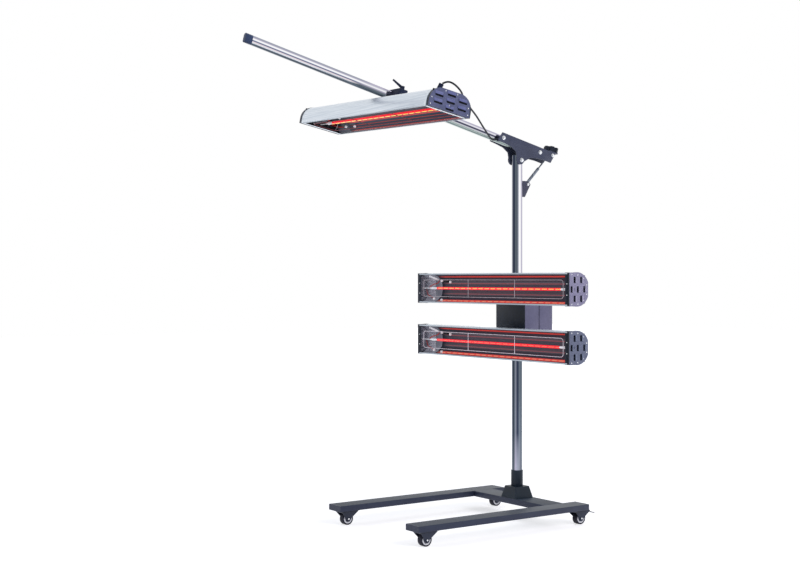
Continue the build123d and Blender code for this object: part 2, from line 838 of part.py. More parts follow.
panel_back = carriage_seam + box_depth
panel_inset = 2 * (box_wall + plug_fit)
switch_height_at = carriage_height + switch_rise
switch_places = (-switch_pitch, 0.0, switch_pitch)
switch_hole_width = switch_width + 2 * switch_gap
switch_hole_height = switch_height + 2 * switch_gap
with BuildPart() as control_panel:
    with BuildSketch(facing_front(0, panel_back, carriage_height)):
        Rectangle(carriage_width - panel_inset, carriage_tall - panel_inset)
        with Locations(*[(x, switch_rise) for x in switch_places]):
            Rectangle(switch_hole_width, switch_hole_height, mode=Mode.SUBTRACT)
        Circle(dial_stem_diameter / 2 + running_fit, mode=Mode.SUBTRACT)
        with Locations((0, -inlet_drop)):
            Rectangle(inlet_width, inlet_height, mode=Mode.SUBTRACT)
    extrude(amount=panel_thickness)
write(control_panel, "control_panel")

for number, x in enumerate(switch_places, start=1):
    half_rocker = switch_height / 2
    with BuildPart() as lamp_switch:
        with BuildSketch(along_x(x, panel_back, switch_height_at)):
            with BuildLine():
                Polyline(
                    (switch_proud, -half_rocker),
                    (-panel_thickness, -half_rocker),
                    (-switch_depth, -half_rocker / 2),
                    (-switch_depth, half_rocker / 2),
                    (-panel_thickness, half_rocker),
                    (switch_proud, half_rocker),
                )
                ThreePointArc(
                    (switch_proud, half_rocker), (switch_proud / 2, 0), (switch_proud, -half_rocker)
                )
            make_face()
        extrude(amount=switch_width / 2, both=True)
    write(lamp_switch, f"lamp_switch_{number}")

dial_face = facing_rear(0, panel_back + body_gap, carriage_height)
with BuildPart() as timer_dial:
    with BuildSketch(dial_face):
        Circle(dial_diameter / 2)
    extrude(amount=dial_thickness, taper=dial_taper)
    with BuildSketch(dial_face):
        Circle(dial_stem_diameter / 2)
    extrude(amount=-switch_depth)
write(timer_dial, "timer_dial")

inlet_height_at = carriage_height - inlet_drop
with BuildPart() as power_inlet:
    with BuildSketch(facing_front(0, panel_back, inlet_height_at)):
        Rectangle(inlet_width, inlet_height)
    extrude(amount=inlet_depth)
    with BuildSketch(facing_front(0, panel_back, inlet_height_at)):
        Rectangle(inlet_width - 2 * panel_thickness, inlet_height - 2 * panel_thickness)
    extrude(amount=inlet_depth - panel_thickness, mode=Mode.SUBTRACT)
    with BuildSketch(facing_rear(0, panel_back - inlet_depth, inlet_height_at)):
        with GridLocations(inlet_width / 4, inlet_height, 3, 1):
            Rectangle(panel_thickness, 2 * panel_thickness)
    extrude(amount=inlet_depth - panel_thickness)
write(power_inlet, "power_inlet")

with BuildPart() as contactor:
    with BuildSketch(facing_rear(0, carriage_seam + box_wall, carriage_height)):
        RectangleRounded(contactor_width, contactor_height, panel_thickness)
    extrude(amount=contactor_depth)
write(contactor, "contactor")

# Lock screw that holds the carriage on the column
lock_face = along_x(-half_width - body_gap, 0, lock_height)
with BuildPart() as carriage_lock_knob:
    with BuildSketch(lock_face):
        Circle(lock_knob_diameter / 2)
        with PolarLocations(lock_knob_diameter / 2, knob_lobes):
            Circle(lock_flute_radius, mode=Mode.SUBTRACT)
    extrude(amount=-lock_knob_thickness)
    with BuildSketch(lock_face):
        Circle(lock_screw_diameter / 2)
    extrude(amount=half_width - column_radius)
write(carriage_lock_knob, "carriage_lock_knob")

# Hinges between the carriage and the two side heads
hinge_y = -carriage_front - head_gap / 2
ear_inner = hinge_knuckle_width / 2 + body_gap
with BuildPart() as head_hinges:
    for height in (upper_height, lower_height):
        with BuildSketch(facing_front(0, -carriage_front, height)):
            Rectangle(2 * (ear_inner + hinge_ear_thickness), hinge_foot_height)
        extrude(amount=hinge_foot_thickness)
        for side in (-1, 1):
            with BuildSketch(along_x(side * ear_inner, hinge_y, height)):
                Circle(hinge_ear_radius)
                with Locations((head_gap / 4, 0)):
                    Rectangle(head_gap / 2, 2 * hinge_ear_radius)
            extrude(amount=side * hinge_ear_thickness)
        with BuildSketch(along_x(0, hinge_y, height)):
            Circle(hinge_pin_diameter / 2)
        extrude(amount=ear_inner + hinge_ear_thickness, both=True)
write(head_hinges, "head_hinges")

# Boom bracket: two plates, the bridge between their top edges and the cable's entry bush
boom_bolt_places = ((front_bolt_reach, boom_bolt_rise), (-rear_bolt_reach, boom_bolt_rise))
strut_top = Vector(0, column_y + strut_top_back, strut_top_height)
with BuildPart() as boom_bracket:
    for x in (plate_inner_gap / 2 + plate_thickness, -plate_inner_gap / 2):
        with BuildSketch(boom_side(x)) as plate:
            with BuildLine():
                Polyline(*bracket_edge, close=True)
            make_face()
            with Locations(lobe_place):
                Circle(lobe_radius)
            with Locations(*boom_bolt_places):
                Circle(bolt_radius, mode=Mode.SUBTRACT)
        extrude(amount=plate_thickness)
    with BuildSketch(along_x(0, 0, pivot_height)):
        Circle(bolt_radius + running_fit)
    extrude(amount=plate_outer, both=True, mode=Mode.SUBTRACT)
    with BuildSketch(along_x(0, strut_top_back, strut_top_height)):
        Circle(strut_bolt_diameter / 2)
    extrude(amount=plate_outer, both=True, mode=Mode.SUBTRACT)
    with BuildSketch(boom_deck(0, bridge_reach, bracket_top)):
        Rectangle(2 * plate_outer, bridge_length)
        with Locations((0, knob_reach + bridge_reach)):
            Circle(knob_stem_diameter / 2 + running_fit, mode=Mode.SUBTRACT)
    extrude(amount=bridge_thickness)
    entry_middle = (entry_place[0], column_y + entry_place[1], pivot_height + entry_place[2])
    with Locations(Location(entry_middle)):
        Box(*entry_bush)
write(boom_bracket, "boom_bracket")

with BuildPart() as boom_bolts:
    for reach, above in boom_bolt_places:
        with BuildSketch(boom_side(0)):
            with Locations((reach, above)):
                Circle(bolt_radius)
        extrude(amount=plate_outer, both=True)
        with BuildSketch(boom_side(0)):
            with Locations((reach, above)):
                Circle(spacer_radius)
        extrude(amount=plate_inner_gap / 2, both=True)
    for side in (-1, 1):
        with BuildSketch(boom_side(side * plate_outer)):
            with Locations(*boom_bolt_places):
                Circle(bolt_head_diameter / 2)
        extrude(amount=-side * bolt_head_thickness)
    with BuildSketch(boom_section(-boom_tail)):
        RectangleRounded(boom_width, boom_height, boom_corner)
    extrude(amount=2 * boom_tail, mode=Mode.SUBTRACT)
    for reach, above in boom_bolt_places:
        with BuildSketch(boom_side(0)):
            with Locations((reach, above)):
                Circle(bolt_radius)
        extrude(amount=plate_outer, both=True)
    with BuildSketch(along_x(0, strut_top_back, strut_top_height)):
        Circle(strut_bolt_diameter / 2)
    extrude(amount=plate_outer, both=True)
    for side in (-1, 1):
        with BuildSketch(along_x(side * plate_outer, strut_top_back, strut_top_height)):
            Circle(bolt_head_diameter / 2)
        extrude(amount=side * bolt_head_thickness)
write(boom_bolts, "boom_bolts")

# Boom tube and its end caps
tube_end = boom_reach - boom_cap_length
with BuildPart() as boom_tube:
    with BuildSketch(boom_section(-boom_tail)):
        RectangleRounded(boom_width, boom_height, boom_corner)
        inner_width = boom_width - 2 * boom_wall
        inner_height = boom_height - 2 * boom_wall
        RectangleRounded(
            inner_width, inner_height, boom_corner - boom_wall, mode=Mode.SUBTRACT
        )
    extrude(amount=boom_tail + tube_end)
    with BuildSketch(boom_side(0)):
        with Locations(*boom_bolt_places):
            Circle(bolt_radius)
    extrude(amount=boom_width, both=True, mode=Mode.SUBTRACT)
write(boom_tube, "boom_tube")

with BuildPart() as boom_end_caps:
    for reach, outward, length in ((tube_end, 1, boom_cap_length), (-boom_tail, -1, boom_cap_rim)):
        with BuildSketch(boom_section(reach)):
            RectangleRounded(boom_width, boom_height, boom_corner)
        extrude(amount=outward * length)
        with BuildSketch(boom_section(reach)):
            RectangleRounded(
                inner_width - 2 * plug_fit, inner_height - 2 * plug_fit, boom_corner - boom_wall
            )
        extrude(amount=-outward * boom_plug_length)
write(boom_end_caps, "boom_end_caps")

# Clamp that carries the boom head along the boom, with its lever
boom_crown = boom_mouth.offset(boom_head_depth)
boom_cross = Plane(origin=boom_mouth.origin, x_dir=boom_mouth.y_dir, z_dir=boom_mouth.x_dir)
with BuildPart() as boom_clamp:
    with BuildSketch(boom_section(clamp_front_reach)):
        with Locations((0, (clamp_above - clamp_below) / 2)):
            RectangleRounded(clamp_width, clamp_above + clamp_below, clamp_corner)
    extrude(amount=-clamp_length)
    with BuildSketch(boom_cross):
        make_face(head_outline(boom_head_width, boom_head_depth, 0))
    extrude(amount=boom_head_length / 2, both=True, mode=Mode.SUBTRACT)
    with BuildSketch(boom_section(clamp_front_reach)):
        RectangleRounded(
            boom_width + 2 * running_fit, boom_height + 2 * running_fit, boom_corner + running_fit
        )
    extrude(amount=-clamp_length, mode=Mode.SUBTRACT)
    with BuildSketch(boom_deck(lever_side, lever_reach, clamp_above)):
        Circle(lever_pin_diameter / 2 + running_fit)
    extrude(amount=-lever_pin_length, mode=Mode.SUBTRACT)
    split(bisect_by=boom_mouth, keep=Keep.TOP)
write(boom_clamp, "boom_clamp")

lever_foot = boom_deck(lever_side, lever_reach, clamp_above + body_gap)
arm_start = boom_point(lever_side, lever_reach, clamp_above + lever_hub_height / 2)
arm_end = boom_point(
    lever_side + lever_run[0],
    lever_reach + lever_run[1],
    clamp_above + lever_hub_height / 2 + lever_climb,
)
arm_way = arm_end - arm_start
with BuildPart() as clamp_lever:
    with BuildSketch(lever_foot):
        Circle(lever_hub_diameter / 2)
    extrude(amount=lever_hub_height)
    with BuildSketch(Plane(origin=arm_start, z_dir=arm_way)):
        Circle(lever_arm_diameter / 2)
    with BuildSketch(Plane(origin=arm_end, z_dir=arm_way)):
        Circle(lever_end_diameter / 2)
    loft()
    with BuildSketch(lever_foot):
        Circle(lever_pin_diameter / 2)
    extrude(amount=-lever_pin_length)
write(clamp_lever, "clamp_lever")

# Boom cable and the gland on the head's back where it starts
cable_points = [Vector(x, column_y + y, z) for x, y, z in cable_route]
bend_radii = []
for before, here, after in zip(cable_points, cable_points[1:], cable_points[2:]):
    run_in = here - before
    run_out = after - here
    turn = radians(run_in.get_angle(run_out))
    shorter = min(run_in.length, run_out.length)
    bend_radii.append(cable_bend_share * shorter / tan(turn / 2))
with BuildPart() as boom_cable:
    with BuildLine() as run:
        FilletPolyline(*cable_points, radius=bend_radii)
    with BuildSketch(Plane(origin=run.wire() @ 0, z_dir=run.wire() % 0)):
        Circle(cable_diameter / 2)
    sweep(path=run.wire())
write(boom_cable, "boom_cable")

gland_plane = boom_mouth.offset(boom_head_depth)
with BuildPart() as cable_gland:
    with BuildSketch(gland_plane):
        with Locations((gland_side, gland_back)):
            RectangleRounded(gland_width, gland_length, clamp_corner)
    extrude(amount=gland_height)
    with BuildSketch(Plane(origin=cable_points[0], z_dir=cable_points[1] - cable_points[0])):
        Circle(cable_diameter / 2)
    extrude(amount=gland_length, mode=Mode.SUBTRACT)
write(cable_gland, "cable_gland")

# Gas strut from the lug to the bracket
lug_bolt_at = Vector(0, column_y + lug_bolt_back, lug_bolt_height)
strut_way = (strut_top - lug_bolt_at).normalized()
eye_fit_radius = lug_bolt_diameter / 2 + running_fit
with BuildPart() as strut_cylinder:
    with BuildSketch(along_x(0, lug_bolt_back, lug_bolt_height)):
        Circle(foot_eye_radius)
    extrude(amount=eye_width / 2, both=True)
    with BuildSketch(Plane(origin=lug_bolt_at, z_dir=strut_way)):
        Circle(strut_diameter / 2)
    extrude(amount=strut_body_length)
    with BuildSketch(Plane(origin=lug_bolt_at + strut_way * strut_bore_start, z_dir=strut_way)):
        Circle(rod_diameter / 2 + running_fit)
    extrude(amount=strut_body_length, mode=Mode.SUBTRACT)
    with BuildSketch(along_x(0, lug_bolt_back, lug_bolt_height)):
        Circle(eye_fit_radius)
    extrude(amount=strut_diameter, both=True, mode=Mode.SUBTRACT)
write(strut_cylinder, "strut_cylinder")

with BuildPart() as strut_rod:
    with BuildSketch(Plane(origin=strut_top - strut_way * rod_length, z_dir=strut_way)):
        Circle(rod_diameter / 2)
    extrude(amount=rod_length)
    with BuildSketch(along_x(0, strut_top_back, strut_top_height)):
        Circle(eye_radius)
    extrude(amount=eye_width / 2, both=True)
    with BuildSketch(along_x(0, strut_top_back, strut_top_height)):
        Circle(strut_bolt_diameter / 2 + open_eye_clearance)
    extrude(amount=strut_diameter, both=True, mode=Mode.SUBTRACT)
write(strut_rod, "strut_rod")

# Star knob on the bridge that locks the boom's tilt
knob_foot = bracket_top + bridge_thickness + body_gap
with BuildPart() as boom_lock_knob:
    with BuildSketch(boom_deck(0, -knob_reach, knob_foot)):
        Circle(knob_diameter / 2)
        with PolarLocations(knob_diameter / 2, knob_lobes):
            Circle(knob_flute_radius, mode=Mode.SUBTRACT)
    extrude(amount=knob_thickness)
    with BuildSketch(boom_deck(0, -knob_reach, knob_foot)):
        Circle(knob_stem_diameter / 2)
    extrude(amount=-knob_stem_length)
write(boom_lock_knob, "boom_lock_knob")
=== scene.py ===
"""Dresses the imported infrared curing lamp: finishes for its CAD parts, detailed pieces and the studio."""

import json
from math import atan2, cos, pi, radians, sin

import bmesh
import bpy
from mathutils import Matrix, Vector

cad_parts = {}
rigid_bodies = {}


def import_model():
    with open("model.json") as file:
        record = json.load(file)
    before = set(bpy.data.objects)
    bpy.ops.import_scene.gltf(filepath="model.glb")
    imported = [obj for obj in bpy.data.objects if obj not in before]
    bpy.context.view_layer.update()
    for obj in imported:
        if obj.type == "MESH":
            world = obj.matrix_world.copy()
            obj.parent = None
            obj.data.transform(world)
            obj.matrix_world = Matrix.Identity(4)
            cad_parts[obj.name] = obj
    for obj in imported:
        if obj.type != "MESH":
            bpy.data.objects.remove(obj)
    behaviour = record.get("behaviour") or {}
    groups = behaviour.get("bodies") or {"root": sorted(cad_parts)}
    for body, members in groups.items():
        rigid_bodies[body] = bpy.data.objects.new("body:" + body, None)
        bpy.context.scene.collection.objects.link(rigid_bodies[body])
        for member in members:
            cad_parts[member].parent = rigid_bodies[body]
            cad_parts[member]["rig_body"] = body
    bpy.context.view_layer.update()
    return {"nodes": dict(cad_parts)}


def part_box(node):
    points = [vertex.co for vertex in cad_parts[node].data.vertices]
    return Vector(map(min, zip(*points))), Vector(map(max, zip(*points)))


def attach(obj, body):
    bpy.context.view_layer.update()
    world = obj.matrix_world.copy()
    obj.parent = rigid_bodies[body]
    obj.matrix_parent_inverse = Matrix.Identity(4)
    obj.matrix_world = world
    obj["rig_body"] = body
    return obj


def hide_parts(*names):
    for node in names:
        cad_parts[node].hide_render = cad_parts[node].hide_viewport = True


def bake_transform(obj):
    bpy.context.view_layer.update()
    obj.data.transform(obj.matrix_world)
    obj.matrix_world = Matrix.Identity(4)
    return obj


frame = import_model()
nodes = frame["nodes"]
scene = bpy.context.scene
bpy.ops.object.select_all(action="DESELECT")

# Sizes that the CAD part also uses, in metres
column_y = 0.607701
boom_rise = radians(13.9)
boom_line_height = 1.756
forward = Vector((0, -cos(boom_rise), sin(boom_rise)))
upward = Vector((0, sin(boom_rise), cos(boom_rise)))
boom_start = Vector((0, column_y, boom_line_height))
boom_width = 0.024
boom_height = 0.040
boom_corner = 0.010
column_radius = 0.025
cable_radius = 0.004


def per_head(upper, lower, boom):
    """What differs between the three lamp heads."""
    return {"upper_head": upper, "lower_head": lower, "boom_head": boom}


# Sizes of the lamp heads' own pieces, in millimetres
lamp_depth = 20.0
lamp_radius = 6.0
chamber_length = 112.0
# How far the glass starts from the left and right ends, and how long its holders there are
glass_starts = per_head((138, 80), (138, 88), (112, 80))
socket_length = per_head((60, 48), (60, 54), (48, 42))
rail_width = 6.0
# A louvre's hood: how far it stands out, how deep it is, and how far it starts from its slot's middle
hood_height = 4.2
hood_depth = 13.0
hood_gap = 3.8
# The cap's skirt over the housing, how far the cap reaches along it, and the sheet in the wiring end
skirt_length = 15.0
skirt_proud = 1.6
skirt_wall = 1.4
cap_reach = 14.0
chamber_margin = 15.0
chamber_fold = 18.0
sheet_depth = 40.0
# Places on a cap's face, as shares of the head's width and depth
louvre_places = (
    (-0.286, 0.265), (-0.286, 0.62), (0.0, 0.10), (0.0, 0.44), (0.0, 0.79), (0.286, 0.265),
    (0.286, 0.62),
)
cap_screw_places = (
    (-0.45, 0.12), (-0.44, 0.45), (-0.33, 0.76), (-0.14, 0.93), (0.14, 0.93), (0.33, 0.76),
    (0.44, 0.45), (0.45, 0.12),
)

# The carriage's rear panel and the casters, in millimetres from the column's axis and the floor
panel_face = 128.0
dial_height = 955.0
rocker_height = 1025.0
caster_places = {
    "front_left": (-303, -766),
    "front_right": (303, -766),
    "rear_left": (-303, 115),
    "rear_right": (303, 115),
}
wheel_radius = 28.0
wheel_width = 26.0

# Directions
right, left = Vector((1, 0, 0)), Vector((-1, 0, 0))
up, down = Vector((0, 0, 1)), Vector((0, 0, -1))
rear = Vector((0, 1, 0))

# CAD nodes that get rounded edges, and by how much, in millimetres
softened_nodes = (
    ("leg_left", 1.2), ("leg_right", 1.2), ("crossbar", 1.0), ("column_boot", 1.5),
    ("column_collar", 0.6), ("boom_bracket", 0.5), ("boom_clamp", 1.5), ("clamp_lever", 1.0),
    ("boom_lock_knob", 3.5), ("carriage_lock_knob", 2.0), ("control_box", 1.2), ("carriage_cover", 1.2),
    ("strut_lug", 0.6), ("boom_end_caps", 9.0),
)


def at(x, y, z):
    """A point given in millimetres from the column's axis on the floor."""
    return Vector((x / 1000, column_y + y / 1000, z / 1000))


def on_boom(side, reach, above):
    """A point given in millimetres across, along and above the boom's centre line."""
    return boom_start + Vector((side / 1000, 0, 0)) + forward * (reach / 1000) + upward * (above / 1000)


def turned(origin, x_way, y_way):
    """The matrix that places a piece made at the origin, by its x and y directions."""
    z_way = x_way.cross(y_way)
    turn = Matrix((x_way, y_way, z_way)).transposed().to_4x4()
    return Matrix.Translation(origin) @ turn


# Modelling


def select_only(piece):
    """Leaves edit mode with nothing but this piece selected."""
    if bpy.context.object and bpy.context.object.mode == "EDIT":
        bpy.ops.object.mode_set(mode="OBJECT")
    bpy.ops.object.select_all(action="DESELECT")
    piece.select_set(True)
    bpy.context.view_layer.objects.active = piece


def block(name, size, middle=(0, 0, 0)):
    """A box at its size and place, in millimetres, to be shaped further."""
    bpy.ops.object.select_all(action="DESELECT")
    bpy.ops.mesh.primitive_cube_add(size=1)
    return sized(name, size, middle)


def disc(name, radius, thickness, sides=32):
    """A short cylinder along z that stands on the origin, in millimetres."""
    bpy.ops.object.select_all(action="DESELECT")
    bpy.ops.mesh.primitive_cylinder_add(vertices=sides, radius=0.5, depth=1)
    return sized(name, (2 * radius, 2 * radius, thickness), (0, 0, thickness / 2))


def sized(name, size, middle):
    """The primitive just added, named and brought to its size and place."""
    piece = bpy.context.object
    piece.name = name
    piece.scale = Vector(size) / 1000
    piece.location = Vector(middle) / 1000
    bpy.ops.object.transform_apply(location=True, rotation=True, scale=True)
    return piece


def pick(piece, kind, test):
    """Goes into edit mode with the faces, edges or vertices selected that pass the test."""
    select_only(piece)
    bpy.ops.object.mode_set(mode="EDIT")
    bpy.ops.mesh.select_mode(type=kind)
    bpy.ops.mesh.select_all(action="DESELECT")
    shape = bmesh.from_edit_mesh(piece.data)
    for item in {"FACE": shape.faces, "EDGE": shape.edges, "VERT": shape.verts}[kind]:
        item.select_set(bool(test(item)))
    shape.select_flush_mode()
    bmesh.update_edit_mesh(piece.data)


def inset(width, push=0.0):
    """Insets the selected faces and pushes them out along their normal, in millimetres."""
    bpy.ops.mesh.inset(thickness=width / 1000, depth=0)
    if push:
        pushed(push)


def pushed(push):
    """Extrudes the selected faces along their normals, in millimetres."""
    bpy.ops.mesh.extrude_region_shrink_fatten(TRANSFORM_OT_shrink_fatten={"value": push / 1000})


def shaped(piece, ways, *steps):
    """Insets the faces that look one of the ways, by pairs of width and push."""
    pick(piece, "FACE", lambda face: any(face.normal.dot(way) > 0.9 for way in ways))
    for width, push in steps:
        inset(width, push)
    bpy.ops.object.mode_set(mode="OBJECT")
    return piece


def applied(piece, kind, **settings):
    """Applies a modifier of this kind with its settings."""
    select_only(piece)
    modifier = piece.modifiers.new(kind, kind)
    for key, value in settings.items():
        setattr(modifier, key, value)
    bpy.ops.object.modifier_apply(modifier=modifier.name)


def rounded(piece, width, steps=2, angle=30):
    """Rounds the piece's sharp edges by a bevel of this width, in millimetres, and smooths it."""
    limit = {"limit_method": "ANGLE", "angle_limit": radians(angle)}
    applied(piece, "BEVEL", width=width / 1000, segments=steps, **limit)
    bpy.ops.object.shade_smooth_by_angle(angle=radians(35))
    return piece


def shown(name, data):
    """A new object in the scene with this mesh, curve, lamp or camera."""
    thing = bpy.data.objects.new(name, data)
    scene.collection.objects.link(thing)
    return thing


def copied(piece, name, matrix):
    """A copy with its own mesh, placed by the matrix."""
    twin = shown(name, piece.data.copy())
    twin.data.transform(matrix)
    if matrix.determinant() < 0:
        twin.data.flip_normals()
    return twin


def joined(name, *pieces):
    """One piece made of several."""
    select_only(pieces[0])
    for piece in pieces:
        piece.select_set(True)
    bpy.ops.object.join()
    pieces[0].name = name
    return pieces[0]


def placed(piece, matrix):
    """The piece with its mesh moved by the matrix."""
    piece.data.transform(matrix)
    return piece


def discard(*pieces):
    """Removes patterns that have been copied."""
    for piece in pieces:
        bpy.data.objects.remove(piece)


def coat(piece, *finishes):
    """Gives the piece its materials and keeps which face has which."""
    kept = [min(face.material_index, len(finishes) - 1) for face in piece.data.polygons]
    piece.data.materials.clear()
    for finish in finishes:
        piece.data.materials.append(finish)
    for face, index in zip(piece.data.polygons, kept):
        face.material_index = index
    return piece


def tinted(piece, index, test):
    """Gives the faces that pass the test the material with this number."""
    for face in piece.data.polygons:
        if test(face):
            face.material_index = index


def curved(name, points, steps):
    """A curve through points given in metres, with its corners eased."""
    line = bpy.data.curves.new(name, "CURVE")
    line.dimensions = "3D"
    line.resolution_u = steps
    spline = line.splines.new("NURBS")
    spline.points.add(len(points) - 1)
    for point, place in zip(spline.points, points):
        point.co = (*place, 1)
    spline.order_u = 3
    spline.use_endpoint_u = True
    return shown(name, line)


def bent_rod(name, radius, points):
    """A round wire through points given in millimetres."""
    rod = curved(name, [Vector(point) / 1000 for point in points], 6)
    rod.data.bevel_depth = radius / 1000
    rod.data.bevel_resolution = 2
    rod.data.use_fill_caps = True
    select_only(rod)
    bpy.ops.object.convert(target="MESH")
    bpy.ops.object.shade_smooth_by_angle(angle=radians(40))
    return bpy.context.object


def softened(node, width):
    """A copy of a CAD node with merged facets and rounded edges, which stands for the node."""
    twin = copied(nodes[node], f"{node}_dressed", Matrix.Identity(4))
    select_only(twin)
    bpy.ops.object.mode_set(mode="EDIT")
    bpy.ops.mesh.select_all(action="SELECT")
    bpy.ops.mesh.remove_doubles(threshold=0.00001)
    bpy.ops.mesh.dissolve_limited(angle_limit=radians(1))
    bpy.ops.object.mode_set(mode="OBJECT")
    rounded(twin, width)
    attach(twin, nodes[node]["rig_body"])
    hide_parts(node)
    return twin


def screws(name, seats, rise=1.0):
    """Domed cap screws, 10 mm across at size 1: each seat is a point, a way and a size."""
    pattern = disc("dome_screw", 5, 0.6, 24)
    shaped(pattern, (up,), (0.8, 1.0), (0.4, 0.6), (0.9, 0.4), (1.0, 0.2))
    rounded(pattern, 0.25, 2, 20)
    made = []
    for spot, way, size in seats:
        scale = Matrix.Diagonal((size, size, size * rise, 1))
        made.append(copied(pattern, name, facing(spot, way) @ scale))
    discard(pattern)
    return coat(joined(name, *made), bolt_zinc)


def both_sides(middle, half, size):
    """Seats left and right of the middle, half a grip in millimetres away."""
    return [(middle + way * (half / 1000), way, size) for way in (left, right)]


def facing(origin, way):
    """The matrix that stands a piece at the origin on its z, along the way."""
    return Matrix.Translation(origin) @ way.to_track_quat("Z", "Y").to_matrix().to_4x4()


def axes_of(matrix):
    """Where a head's frame stands and its three directions."""
    turn = matrix.to_3x3()
    return matrix.to_translation(), turn.col[0].copy(), turn.col[1].copy(), turn.col[2].copy()


# Materials


def linear(code):
    """A linear colour from an sRGB hex value."""
    parts = [int(code[i : i + 2], 16) / 255 for i in (1, 3, 5)]
    return [p / 12.92 if p <= 0.04045 else ((p + 0.055) / 1.055) ** 2.4 for p in parts] + [1.0]


def wire(node, values):
    """Sets a node's inputs: a socket is linked, and anything else is a constant."""
    for key, value in values.items():
        if isinstance(value, bpy.types.NodeSocket):
            node.id_data.links.new(value, node.inputs[key])
        else:
            node.inputs[key].default_value = value


def add(tree, kind, *inputs, stops=(), **settings):
    """Adds a node by its kind and operation: inputs in use come in order, settings and the rest by name."""
    kind, *operation = kind.split()
    node = tree.nodes.new(f"ShaderNode{kind}")
    if operation:
        node.operation = operation[0]
    for key in [key for key in settings if hasattr(node, key)]:
        setattr(node, key, settings.pop(key))
    in_use = [index for index, socket in enumerate(node.inputs) if socket.enabled]
    wire(node, dict(zip(in_use, inputs)) | settings)
    if stops:
        band = node.color_ramp.elements
        for element, (position, code) in zip(band, (stops[0], stops[-1])):
            element.position, element.color = position, linear(code)
        for position, code in stops[1:-1]:
            band.new(position).color = linear(code)
    return next((socket for socket in node.outputs if socket.enabled), None)


def material(name):
    """An empty material with its shader and its object coordinates."""
    made = bpy.data.materials.new(name)
    made.use_nodes = True
    tree = made.node_tree
    place = add(tree, "TexCoord").node.outputs["Object"]
    return made, tree, tree.nodes["Principled BSDF"], place


def along_way(tree, place, origin, way):
    """How far a point lies from the origin along a direction, in metres."""
    offset = add(tree, "VectorMath SUBTRACT", place, origin)
    return add(tree, "VectorMath DOT_PRODUCT", offset, way)


def share_of(tree, reach, whole):
    """A distance from the middle as a share of the whole, from 0 at one edge to 1 at the other."""
    return add(tree, "Math ADD", add(tree, "Math DIVIDE", reach, whole), 0.5)


def dashes(tree, run, pitch, filled):
    """One along the filled share of every pitch in metres, and nought between."""
    beat = add(tree, "Math FRACT", add(tree, "Math DIVIDE", run, pitch))
    return add(tree, "Math LESS_THAN", beat, filled)


def clouded(tree, place, scale, detail, shade, light, low=0.3, high=0.7):
    """A soft change of shade over the surface."""
    cloud = add(tree, "TexNoise", place, Scale=scale, Detail=detail)
    return add(tree, "ValToRGB", cloud, stops=((low, shade), (high, light)))


def grained(tree, place, grain_mm, strength, distance_mm):
    """A fine raised grain, as a normal."""
    grain = add(tree, "TexNoise", place, Scale=1000 / grain_mm, Detail=2.0)
    return add(tree, "Bump", strength, distance_mm / 1000, Height=grain)


def painted_steel(name, shade, light, roughness, shine=0.35):
    """Powder coat or enamel on steel: a low orange peel and a slight change of shade over the panel."""
    made, tree, shader, place = material(name)
    wire(shader, {"Base Color": clouded(tree, place, 9.0, 3.0, shade, light), "Roughness": roughness})
    wire(shader, {"Normal": grained(tree, place, 1.6, 0.05, 1.0), "Specular IOR Level": shine})
    return made


def plated_steel(name, shade, light, roughness, stretch):
    """Bright or satin metal, by its roughness, with faint drawing lines along the piece."""
    made, tree, shader, place = material(name)
    lines = add(tree, "TexNoise", add(tree, "Mapping", place, Scale=stretch), Scale=1.0, Detail=4.0)
    colour = add(tree, "ValToRGB", lines, stops=((0.35, shade), (0.65, light)))
    wear = add(tree, "MapRange", lines, 0.3, 0.7, roughness * 0.7, roughness * 1.4)
    wire(shader, {"Base Color": colour, "Roughness": wear, "Metallic": 1.0})
    return made


def chrome_with_painted_reflections(name, share_at, reach_at, stretches):
    """Chrome plate with painted reflections: the soft bands that a room puts round a tube are painted into
    its colour, changing over its length.
    """
    made, tree, shader, place = material(name)
    share, reach = share_at(tree, place), reach_at(tree, place)
    colour = None
    for begin, blend, bands in stretches:
        band = add(tree, "ValToRGB", share, stops=[(spot, reflection_tones[tone]) for spot, tone in bands])
        if colour is not None:
            after = add(tree, "MapRange", reach, begin, begin + blend)
            band = add(tree, "Mix", after, colour, band, data_type="RGBA")
        colour = band
    lines = add(tree, "TexNoise", place, Scale=900.0, Detail=2.0)
    wear = add(tree, "MapRange", lines, 0.3, 0.7, 0.05, 0.12)
    wire(shader, {"Base Color": colour, "Roughness": wear, "Metallic": 1.0})
    return made


def boom_share(tree, place):
    """Height in the boom's section, from 0 at its underside to 1 at its top."""
    return share_of(tree, along_way(tree, place, boom_start, upward), boom_height)


def boom_run(tree, place):
    """Distance along the boom, with the bands' ends cut at a slant."""
    slant = add(tree, "Math MULTIPLY", boom_share(tree, place), band_slant)
    return add(tree, "Math ADD", along_way(tree, place, boom_start, forward), slant)


def column_share(tree, place):
    """Angle round the column, as a share of the full turn."""
    side = along_way(tree, place, at(0, 0, 0), right)
    back = along_way(tree, place, at(0, 0, 0), rear)
    return share_of(tree, add(tree, "Math ARCTAN2", back, side), 2 * pi)


def column_rise(tree, place):
    """Height on the column."""
    return along_way(tree, place, at(0, 0, 0), up)


def moulded_plastic(name, shade, light, roughness):
    """Moulded nylon, rubber or silicone: half matt, with a fine spark-eroded grain."""
    made, tree, shader, place = material(name)
    wire(shader, {"Base Color": clouded(tree, place, 30.0, 2.0, shade, light), "Roughness": roughness})
    wire(shader, {"Normal": grained(tree, place, 0.8, 0.12, 0.6), "Specular IOR Level": 0.25})
    return made


